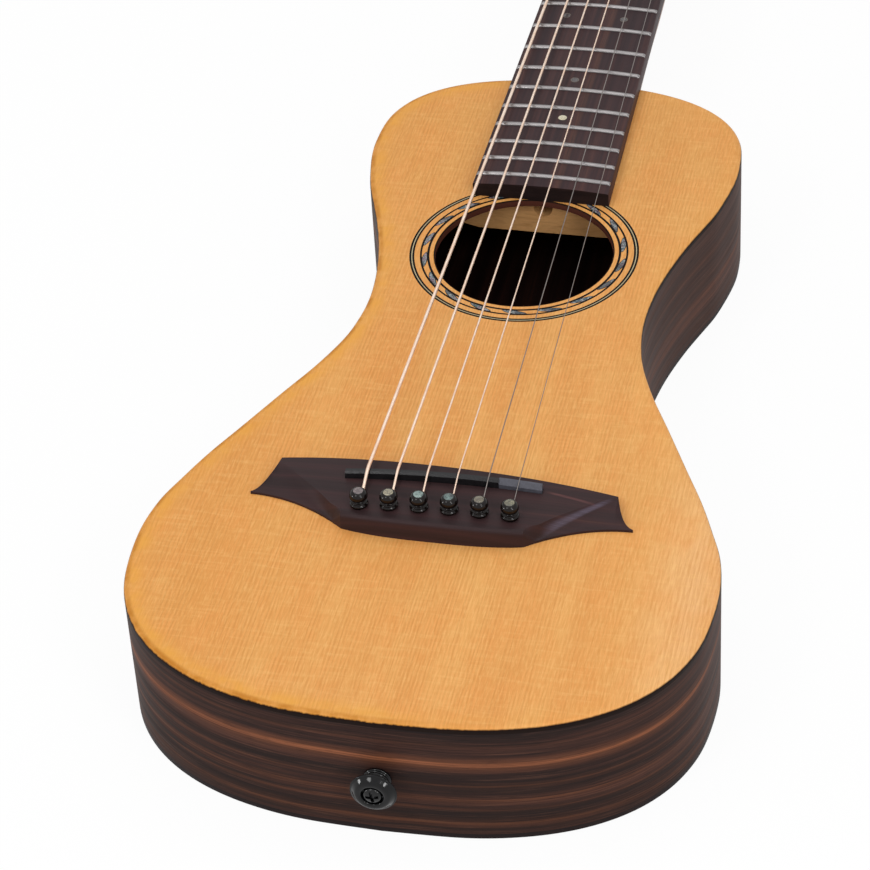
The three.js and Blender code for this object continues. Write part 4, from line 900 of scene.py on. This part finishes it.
def fingerboard():
    def section(y, shrink=0.0):
        return arched(y, board_half(y) - shrink, -0.5, shrink * -0.5, 0.25)

    shape = skin([section(BOARD_END, 0.15)]
                 + [section(mix(BOARD_END + 0.3, SCALE_LENGTH, k / 30)) for k in range(31)])
    kinds = [0] * (len(shape[1]) - 2) + [1, 0]
    piece("board", shape, [BOARD_WOOD, BOARD_TIP], replaces=["fingerboard"], sharp=35, kinds=kinds)

    crown = [(-1.1, -0.35), (-1.1, 0.15), (-1.0, 0.45), (-0.75, 0.74), (-0.4, 0.93), (0, 1.0),
             (0.4, 0.93), (0.75, 0.74), (1.0, 0.45), (1.1, 0.15), (1.1, -0.35)]
    ends = [(0.0, 0.1), (0.25, 0.55), (0.7, 0.9), (1.3, 1.0)]
    shapes = []
    for n in range(1, FRETS + 1):
        y = fret_y(n)
        wide = board_half(y) - 0.3
        stations = [(-wide + inset, tall) for inset, tall in ends]
        stations += [(mix(-wide + 1.3, wide - 1.3, k / 12), 1.0) for k in range(1, 12)]
        stations += [(wide - inset, tall) for inset, tall in reversed(ends)]
        shapes.append(skin([[(x, y + a, board_top(x) + (b * tall if b > 0 else b)) for a, b in crown]
                            for x, tall in stations]))
    piece("frets", together(*shapes), FRET, replaces=["fingerboard"], sharp=40)

    disc = lathe([(0, -0.6), (1.8, -0.6), (1.8, 0.02), (1.7, 0.05), (0, 0.05)], 36)
    inner = lathe([(0, -0.6), (1.35, -0.6), (1.35, 0.04), (0, 0.05)], 36)
    ring = lathe([(1.4, -0.6), (1.8, -0.6), (1.8, 0.02), (1.75, 0.05), (1.45, 0.05), (1.4, 0.02)], 36, True)
    bright = [(n, 0) for n in (3, 5, 7, 9, 17)]
    # The dots at frets 12 and 15 get the shell painted with shade.
    dim = [(15, 0), (12, -12.5), (12, 12.5)]
    for name, shape, spots, material in (("dots_bright", disc, bright, PEARL), ("dots_shaded", inner, dim, SHADED_PEARL),
                                         ("dot_rings", ring, dim, LINE_DIM)):
        places = [at(x, (fret_y(n) + fret_y(n - 1)) / 2, board_top(x)) for n, x in spots]
        piece(name, together(*[moved(shape, place) for place in places]), material, sharp=50)


def string_z_at_nut(n):
    fret_high, clearance = 1.0, 0.3
    return board_top(from_middle(n, NUT_SPACING)) + fret_high + clearance


def nut():
    def row(y, drop, pull):
        return arched(y, NUT_W / 2, 1.2 - drop, 1.8 - drop, 0.4 + pull, pull)

    crest = NUT_FRONT + 0.9
    rows = [row(NUT_FRONT, 0.35, 0.15), row(NUT_FRONT + 0.25, 0.08, 0.05), row(crest, 0, 0)]
    rows += [row(mix(crest, NUT_BACK - 0.9, k / 4), mix(0, 0.9, (k / 4) ** 1.5), 0) for k in range(1, 5)]
    rows += [row(NUT_BACK - 0.2, 1.3, 0.05), row(NUT_BACK, 1.8, 0.2)]
    made = piece("nut_bar", skin(rows), SADDLE_BLACK, replaces=["nut"], sharp=35)
    slots = []
    for n in range(1, 7):
        x, z = from_middle(n, NUT_SPACING), string_z_at_nut(n)
        room = STRINGS[n - 1] / 2 + 0.12
        slots.append(box((x - room, NUT_FRONT - 5, z - 0.5), (x + room, NUT_BACK + 5, z + 6)))
    carve(made, *slots, sharp=35)


# ---- strings
def rounded(points, radius, parts=6):
    """The polyline with its corners rounded."""
    points = [Vector(p) for p in points]
    out = [points[0]]
    for a, b, c in zip(points, points[1:], points[2:]):
        r = min(radius, (b - a).length * 0.45, (c - b).length * 0.45)
        start, end = b + (a - b).normalized() * r, b + (c - b).normalized() * r
        for k in range(parts + 1):
            t = k / parts
            out.append(start * (1 - t) ** 2 + b * (2 * t * (1 - t)) + end * t * t)
    return out + [points[-1]]


def tube(points, radius, sides=12):
    """A round tube without a twist, and its UVs (round, along)."""
    verts, faces, uv = [], [], []
    normal = Vector((1, 0, 0))
    length = 0.0
    for i, p in enumerate(points):
        ahead = (points[min(i + 1, len(points) - 1)] - points[max(i - 1, 0)]).normalized()
        normal = (normal - ahead * normal.dot(ahead)).normalized()
        other = ahead.cross(normal)
        if i:
            length += (p - points[i - 1]).length
        for k in range(sides + 1):
            angle = 2 * pi * k / sides
            verts.append(tuple(p + (normal * cos(angle) + other * sin(angle)) * radius))
            uv.append((k / sides, length * MM))
    row = sides + 1
    for i in range(len(points) - 1):
        for a in range(i * row, i * row + sides):
            faces.append((a, a + 1, a + 1 + row, a + row))
    for first in (0, (len(points) - 1) * row):
        faces.append(tuple(first + k for k in range(sides)))
    return (verts, faces), uv


# String number: side, and the post's place in the headstock's frame
TUNER_X, TUNER_Y, TUNER_STEP = 21.0, 36, 38
TUNERS = {n: (1, TUNER_X, TUNER_Y + TUNER_STEP * (n - 1)) if n <= 3
          else (-1, -TUNER_X, TUNER_Y + TUNER_STEP * (6 - n)) for n in range(1, 7)}
POST_R = 2.5
BUSHING_HOLE_R, POST_HOLE_R, STRING_HOLE_R, SPINDLE_BORE_R = 4.5, 3.25, 0.9, 1.72
WRAP_TOP, WRAP_GAP = 12.5, 0.45


def strings():
    turns, steps = 2, 40
    ball_end = [(1.0, -1.5), (1.8, -1.5), (2.0, -1.2), (2.0, 1.2), (1.8, 1.5), (1.0, 1.5)]
    for n in range(1, 7):
        radius = STRINGS[n - 1] / 2
        x, y = pin_x(n), pin_y(n) + 2.0
        top = TOP + bridge_top(x)
        under = TOP_UNDER - BRIDGE_PLATE_T - STRINGS[-1] / 2 - FIT_GAP
        ball_y, ball_z = y + 2.8, under - 3
        saddle_x, nut_x = from_middle(n, SADDLE_SPACING), from_middle(n, NUT_SPACING)
        saddle_z = TOP + SADDLE_CROWN - saddle_x ** 2 / (2 * BOARD_R) + radius
        nut_z = string_z_at_nut(n) + radius
        path = [(x, ball_y, ball_z), (x, y, under), (x, y, top - 4.5), (x, y + 3.5, top + radius + FIT_GAP),
                (saddle_x, SADDLE_Y + SADDLE_SLOPE * saddle_x, saddle_z), (nut_x, SCALE_LENGTH, nut_z),
                (nut_x, NUT_BACK, nut_z - 0.3)]
        side, post_x, post_y = TUNERS[n]
        around = POST_R + FIT_GAP + radius
        highest = VENEER_TOP + WRAP_TOP - radius - FIT_GAP
        wraps = []
        for turn in (k / steps for k in range(turns * steps + 1)):
            angle = turn * 2 * pi
            wraps.append(HEAD @ Vector((post_x - side * around * cos(angle), post_y + around * sin(angle),
                                        highest - (STRINGS[n - 1] + WRAP_GAP) * turn)))
        shape, uv = tube(rounded(path + wraps[:1], 1.6)[:-1] + wraps, radius)
        ball = moved(lathe(ball_end, 24, True), at(x, ball_y, ball_z - 1.0))
        bronze = n in WOUND
        piece(f"wire_{n}", together(shape, ball), WOUND[n] if bronze else STEEL,
              replaces=[f"string_{n}"], sharp=60,
              uv=uv + [(0.0, 0.0)] * len(ball[0]))


# ---- neck and headstock
HEAD_LONG, HEAD_CROWN, HEAD_FLARE = 139, 7, 26
HEAD_SHOULDER = HEAD_LONG - HEAD_CROWN
HEAD_STRAIGHT = HEAD_SHOULDER - HEAD_FLARE


def bulge(value, power):
    return math.copysign(abs(value) ** power, value)


def head_half(y):
    """Half the headstock's width at a distance from the nut."""
    throat, lower, upper = 21.8, 29.0, 33.0
    if y <= 0:
        return throat
    if y < HEAD_FLARE:
        return mix(throat, lower, ease(y / HEAD_FLARE))
    if y <= HEAD_SHOULDER:
        return mix(lower, upper, (y - HEAD_FLARE) / HEAD_STRAIGHT)
    t = clamp((y - HEAD_SHOULDER) / HEAD_CROWN)
    return upper * (1 - t ** 2.6) ** (1 / 1.35) if t < 1 else 0.0


def head_stations(start, flare, straight, crown, shrink=0.0):
    """Distances from the nut up to the headstock's tip, with so many steps along each of its parts."""
    ys = [start + (HEAD_FLARE - start) * k / flare for k in range(flare + 1)]
    ys += [HEAD_FLARE + HEAD_STRAIGHT * k / straight for k in range(1, straight + 1)]
    return ys + [HEAD_SHOULDER + (HEAD_CROWN - shrink) * sin(pi / 2 * k / crown) for k in range(1, crown + 1)]


def neck_section(wide, depth, power, pinch=0.0):
    """From one edge of the fingerboard round under the neck to the other; a small power makes it square."""
    out = []
    for k in range(41):
        angle = pi * k / 40
        down = sin(angle) ** power
        out.append((wide * bulge(cos(angle), power) * (1 - pinch * down), -depth * down))
    return out


def neck():
    heel = 58.0
    far = NUT_BACK - 30
    stations = [HEAD_END + 0.35 + heel * k / 26 for k in range(27)]
    stations += [mix(stations[-1], far, k / 14) for k in range(1, 15)]
    rows = []
    for y in stations:
        share = clamp(1 - (y - HEAD_END) / heel)
        shaft = mix(16.0, 13.5, (y - HEAD_END) / (SCALE_LENGTH - HEAD_END))
        points = neck_section(board_half(y), mix(shaft, BODY_DEPTH, share ** 3), 0.95, 0.3 * share ** 1.5)
        rows.append([(x, y, max(TOP + z, 8.0)) for x, z in points])
    for t in (k / 8 for k in range(1, 9)):
        y = mix(far, NUT_BACK - 2, t)
        depth = mix(13.6, 14.2, sin(pi * t) ** 2 * 0.8 + t * 0.2)
        points = neck_section(board_half(min(y, SCALE_LENGTH)), depth, mix(0.95, 0.3, t * t))
        rows.append([(x, y, TOP + z) for x, z in points])
    for y in head_stations(1.5, 12, 10, 14):
        thick = HEAD_T + 1.6 * clamp(1 - y / 14) ** 2
        points = neck_section(max(head_half(y), 0.4), thick, 0.16 if y > 8 else mix(0.3, 0.16, y / 8))
        rows.append([tuple(HEAD @ Vector((x, y, z))) for x, z in points])
    piece("neck_shaft", skin(rows), MAHOGANY, replaces=["neck"], sharp=45)

    def veneer_ring(shrink, z):
        right = [(max(head_half(y + (shrink if y > HEAD_SHOULDER else 0)) - shrink, 0.0), y)
                 for y in head_stations(FIT_GAP, 14, 8, 16, shrink)]
        right[-1] = (0.0, HEAD_LONG - shrink)
        loop = right + [(-x, y) for x, y in reversed(right[:-1])]
        return [tuple(HEAD @ Vector((x, y, z))) for x, y in loop]

    rings = [veneer_ring(*step) for step in ((0.0, FIT_GAP), (0.0, 1.6), (0.15, 1.9), (0.5, VENEER_TOP))]
    made = piece("head_veneer", skin(rings), HEAD_WOOD, replaces=["headstock_veneer"], sharp=40)
    carve(made, *[moved(rod(BUSHING_HOLE_R, -3, 6), HEAD @ at(x, y, 0)) for _, x, y in TUNERS.values()], sharp=40)


# ---- tuners
GEAR_TEETH, WORM_PITCH, WORM_R = 14, 2.0, 2.9
GEAR_R = GEAR_TEETH * WORM_PITCH / (2 * pi)
WORM_GAP = WORM_R + GEAR_R - 0.45 + 0.25
PLATE_TOP = -(HEAD_T + FIT_GAP)
PLATE_T = 1.0
WORM_Z = PLATE_TOP - PLATE_T - FIT_GAP - WORM_R
HEAD_EDGE = 33.0


def hardware(name, shape, node, material=HARDWARE, body="guitar", sharp=35):
    return piece(name, shape, material, replaces=[node], body=body, sharp=sharp)


def gear():
    tooth = [(GEAR_R - 0.45, -0.25), (GEAR_R + 0.2, -0.15), (GEAR_R + 0.35, -0.09),
             (GEAR_R + 0.35, 0.09), (GEAR_R + 0.2, 0.15), (GEAR_R - 0.45, 0.25)]
    rows = []
    for z in (-2.0, 2.0):
        twist = WORM_PITCH * z / (2 * pi * WORM_R) / GEAR_R
        ring = []
        for n in range(GEAR_TEETH):
            middle = -pi / 2 + (n + 0.5) * 2 * pi / GEAR_TEETH + twist
            for radius, share in tooth:
                angle = middle + share * 2 * pi / GEAR_TEETH
                ring.append((radius * cos(angle), radius * sin(angle), WORM_Z + z))
        rows.append(ring)
    return skin(rows)


def worm():
    sides, turns = 24, 3
    total = turns * sides
    rows = []
    for i in range(total + 1):
        along = (i / total - 0.5) * turns
        fade = clamp(min(i, total - i) / 5)
        ring = []
        for turn in (j / sides for j in range(sides)):
            phase = abs(along - turn - round(along - turn))
            radius = mix(2.1, 2.85, clamp((0.3 - phase) / 0.14) * fade)
            angle = 2 * pi * turn
            ring.append((along * WORM_PITCH, radius * cos(angle), radius * sin(angle)))
        rows.append(ring)
    return skin(rows)


def button(start):
    """The knob's button along X: narrow at its neck and rounded off at its end."""
    rows = []
    for t in (k / 20 for k in range(21)):
        end = clamp((t - 0.86) / 0.14) ** 2.4
        wide = 7.5 * (0.42 + 0.58 * sin(pi * clamp(t * 0.62 + 0.06)) ** 0.9) * (1 - end * 0.5)
        thick = 4.0 * (0.62 + 0.38 * sin(pi * t) ** 0.6) * (1 - end * 0.55) * (0.7 + 0.3 * clamp(t / 0.12))
        rows.append([(start + t * 15.7, bulge(cos(a), 0.8) * wide, bulge(sin(a), 0.8) * thick)
                     for a in (2 * pi * (j + 0.5) / 40 for j in range(40))])
    return skin(rows)


def tuner(n, side, x, y):
    place = HEAD @ at(x, y, 0)
    seat = VENEER_TOP + FIT_GAP
    bush = [(3.12, seat - 8), (4.25, seat - 8), (4.25, seat), (5.5, seat), (5.6, seat + 0.15), (5.6, seat + 0.6),
            (5.3, seat + 0.95), (4.6, seat + 1.15), (3.4, seat + 1.2), (3.12, seat + 1.05)]
    hardware(f"bushing_{n}", moved(lathe(bush, 48, True), place), f"tuner_bushing_{n}", sharp=40)

    post_body, knob_body = f"tuner_post_{n}", f"tuner_knob_{n}"
    low, top = WORM_Z - 2.0 - 1.2, 16.0
    post = [(0, low), (2.2, low), (POST_R, low + 0.3), (POST_R, WORM_Z - 2.0), (3.0, WORM_Z - 2.0)]
    post += [(radius, VENEER_TOP + z) for radius, z in (
        (3.0, 6.0), (2.85, 6.2), (2.55, 6.5), (2.5, 7.0), (2.5, 12.3), (2.6, 12.8), (2.9, 13.1), (3.0, 13.4),
        (3.0, top - 0.6), (2.85, top - 0.2), (2.5, top), (0, top))]
    shaft = hardware(f"post_{n}", moved(lathe(post, 40), place), f"tuner_post_{n}", body=post_body)
    string_hole = moved(rod(STRING_HOLE_R, -6, 6, 20), place @ at(0, 0, VENEER_TOP + 9.6) @ TO_SIDE)
    carve(shaft, string_hole, moved(box((-0.45, -4, low - 1), (0.45, 4, low + 0.6)), place), sharp=35)
    hardware(f"gear_{n}", moved(gear(), place), f"tuner_post_{n}", SCREW, post_body, 25)

    inner, stem = 4.7, HEAD_EDGE + 2.5 - TUNER_X
    spindle = lathe([(0, -inner), (1.5, -inner), (1.5, stem - 1.5), (2.2, stem - 0.8), (2.3, stem + 0.5),
                     (1.8, stem + 1.2), (1.5, stem + 4), (0, stem + 4)], 32)
    flip = Matrix.Rotation(pi, 4, "Y") if side < 0 else Matrix.Identity(4)
    centre = HEAD @ at(x, y - WORM_GAP, WORM_Z)
    hardware(f"button_{n}", moved(button(stem + 0.3), centre @ flip), f"tuner_knob_{n}", body=knob_body, sharp=50)
    hardware(f"spindle_{n}", moved(together(moved(spindle, flip @ TO_SIDE), worm()), centre), f"tuner_knob_{n}",
             SCREW, knob_body)


def tuner_base(side, name):
    x, half_wide, corner = TUNER_X * side, 8, 4.0
    low, high = TUNER_Y - WORM_GAP - half_wide, TUNER_Y + 2 * TUNER_STEP + half_wide
    floor = PLATE_TOP - PLATE_T
    mine = [(px, py) for s, px, py in TUNERS.values() if s == side]

    def loop(shrink, z):
        reach = half_wide - shrink - corner
        y0, y1 = low + shrink + corner, high - shrink - corner
        middles = (x + reach, y1, 0), (x - reach, y1, 90), (x - reach, y0, 180), (x + reach, y0, 270)
        return [(cx + corner * cos(radians(start + 90 * k / 8)),
                 cy + corner * sin(radians(start + 90 * k / 8)), z)
                for cx, cy, start in middles for k in range(9)]

    plate = skin([loop(0, PLATE_TOP), loop(0, PLATE_TOP - 0.75), loop(0.25, floor)])
    made = hardware(f"tuner_base_{name}", moved(plate, HEAD), f"tuner_plate_{name}")
    carve(made, *[moved(rod(POST_HOLE_R, -20, -8, 40), HEAD @ at(px, py, 0)) for px, py in mine], sharp=35)
    lugs = []
    for px, py in mine:
        ay = py - WORM_GAP
        arch = [(ay - 3.5, floor), (ay - 3.5, WORM_Z)]
        arch += [(ay - 3.5 * cos(a), WORM_Z - 3.0 * sin(a)) for a in (pi * k / 14 for k in range(1, 14))]
        arch += [(ay + 3.5, WORM_Z), (ay + 3.5, floor)]
        lugs += [skin([[(px + end * out, a, b) for a, b in arch] for out in (3.2, 4.5)]) for end in (-1, 1)]
    made = hardware(f"tuner_lugs_{name}", moved(together(*lugs), HEAD), f"tuner_plate_{name}")
    bores = [moved(rod(SPINDLE_BORE_R, -9, 9), HEAD @ at(px, py - WORM_GAP, WORM_Z) @ TO_SIDE) for px, py in mine]
    carve(made, *bores, sharp=35)
    head = [(0, -0.1), (1.9, -0.1), (1.85, 0.25), (1.5, 0.65), (0.9, 0.9), (0.35, 0.95), (0.3, 0.5), (0, 0.5)]
    spots = (low + 4, TUNER_Y + 12, TUNER_Y + TUNER_STEP + 12, high - 3.6)
    screws = [moved(lathe(head, 28), HEAD @ at(x, y, floor) @ Matrix.Rotation(pi, 4, "X")) for y in spots]
    piece(f"tuner_screws_{name}", together(*screws), SCREW, sharp=35)


def tuners():
    for n, (side, x, y) in TUNERS.items():
        tuner(n, side, x, y)
    tuner_base(1, "treble")
    tuner_base(-1, "bass")


# ---- strap button
def strap_button():
    profile = [(2.3, 0), (4.8, 0), (4.95, 0.15), (5.0, 0.5), (4.9, 0.85), (4.6, 1.05), (4.3, 1.2), (4.25, 1.4),
               (4.4, 1.6), (4.45, 1.9), (4.3, 2.15), (4.0, 2.5), (3.8, 3.1), (3.8, 3.8), (3.95, 4.4), (4.6, 5.0),
               (6.0, 5.5), (7.3, 5.9), (7.95, 6.15), (8.2, 6.45), (8.2, 6.75), (8.05, 6.88), (7.82, 6.92),
               (7.64, 7.02), (7.4, 7.28), (6.9, 7.84), (6.4, 8.4), (6.15, 8.62), (5.8, 8.79), (5.3, 8.87), (4.7, 8.9),
               (4.25, 8.86), (4.05, 8.7), (3.9, 8.3), (3.7, 6.9), (2.3, 6.7)]
    place = at(0.3, TAIL - FIT_GAP, BODY_DEPTH / 2) @ TO_TAIL
    hardware("strap_peg", moved(lathe(profile, 64, True), place), "strap_button", sharp=50)
    low, arm, thin = 7.5, 2.3, 0.6
    head = [(0, -22), (0.4, -21.6), (2, -19), (2, low), (3.3, low), (3.4, low + 0.3), (3.35, low + 0.8),
            (3.0, low + 1.3), (2.4, low + 1.65), (1.6, low + 1.85), (0.8, low + 1.95), (0, low + 1.95)]
    made = hardware("strap_screw", moved(lathe(head, 48), place), "strap_button_screw", SCREW, sharp=40)
    turned = place @ Matrix.Rotation(radians(8), 4, "Z")
    carve(made, *[moved(box((-a, -b, low + 0.7), (a, b, low + 2.05)), turned) for a, b in ((arm, thin), (thin, arm))],
          sharp=40)


# ---- everything inside keeps its solid
def finish(node, material, bevel):
    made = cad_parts[node]
    made.data.materials.clear()
    made.data.materials.append(material)
    step = made.modifiers.new("soft_edges", "BEVEL")
    step.width, step.segments, step.limit_method = bevel * MM, 2, "ANGLE"
    step.angle_limit = radians(35)


def inner_pieces():
    for name in ("tail_block", "neck_block", "lining_top_bass", "lining_top_treble", "lining_back_bass",
                 "lining_back_treble", "x_brace_bass", "x_brace_treble", "transverse_brace", "back_brace_upper",
                 "back_brace_lower"):
        finish(name, PALE, 0.4)
    finish("bridge_plate", BRIDGE_WOOD, 0.2)
    finish("truss_rod", ROD_STEEL, 0.1)
    finish("truss_rod_nut", ROD_STEEL, 0.2)


# ---- floor, light and camera
def studio():
    wide, floor_white = 12.0, 0.94
    ground = bpy.data.meshes.new("floor")
    ground.from_pydata([(-wide, -wide, 0), (wide, -wide, 0), (wide, wide, 0), (-wide, wide, 0)], [], [(0, 1, 2, 3)])
    floor = placed("floor", ground)
    look = Look("floor", rough=1.0)
    floor.data.materials.append(look.done(linear(252, 252, 252)))
    glow = look.node("Emission", {"Color": (1, 1, 1, 1), "Strength": 1.0})
    both = look.either(look.times(look.seen(), floor_white), look.shader.outputs[0], glow.outputs[0])
    look.put(look.tree.nodes["Material Output"].inputs["Surface"], both)

    world = bpy.data.worlds.new("studio")
    bpy.context.scene.world = world
    world.use_nodes = True
    sky = Nodes(world.node_tree)
    sky.tree.nodes.clear()
    light, white = [sky.node("Background", {"Color": (1, 1, 1, 1), "Strength": level}).outputs[0]
                    for level in (0.48, 1.0)]
    sky.node("OutputWorld", {"Surface": sky.either(sky.seen(), light, white)})

    aim = Vector((0, 0.08, 0.05))
    for name, place, size, power in (("key", (-0.8, -1.4, 1.7), 0.55, 8.8), ("fill", (1.1, -1.2, 1.5), 0.55, 8.0),
                                     ("top", (0.0, 0.3, 2.3), 2.2, 15.0), ("low_left", (-1.3, -0.6, 0.3), 0.22, 3.0),
                                     ("low_right", (1.0, -0.95, 0.55), 0.2, 2.6)):
        data = bpy.data.lights.new(name, "AREA")
        data.shape, data.size, data.size_y, data.energy = "RECTANGLE", size, size, power
        lamp = placed(name, data)
        lamp.location = place
        lamp.rotation_euler = (aim - Vector(place)).to_track_quat("-Z", "Y").to_euler()


def camera():
    """The camera solved from the photo: turns in radians, focal length and middle in the photo's pixels."""
    yaw, pitch, roll = 0.2311, -0.6781, -0.0504
    focal, middle_x, middle_y, frame_px = 3279.105, 485.074, 411.392, 870
    sensor = 36
    forward = Vector((-sin(yaw) * cos(pitch), cos(yaw) * cos(pitch), sin(pitch)))
    right = Vector((cos(yaw), sin(yaw), 0))
    up = right.cross(forward)
    across = right * cos(roll) + up * sin(roll)
    over = up * cos(roll) - right * sin(roll)
    data = bpy.data.cameras.new("camera")
    data.sensor_width = sensor
    data.lens = sensor * focal / frame_px
    data.shift_x = (frame_px / 2 - middle_x) / frame_px
    data.shift_y = (middle_y - frame_px / 2) / frame_px
    data.clip_start, data.clip_end = 0.05, 60
    made = placed("camera", data)
    turn = Matrix((across, over, -forward)).transposed().to_4x4()
    made.matrix_world = Matrix.Translation((0.222872, -0.879004, 0.82052)) @ turn
    bpy.context.scene.camera = made


for build in (soundboard, rosette, ribs, back, bridge, pins, fingerboard, nut, strings, neck, tuners, strap_button,
              inner_pieces, studio, camera):
    build()
bpy.context.scene.view_settings.view_transform = "Standard"
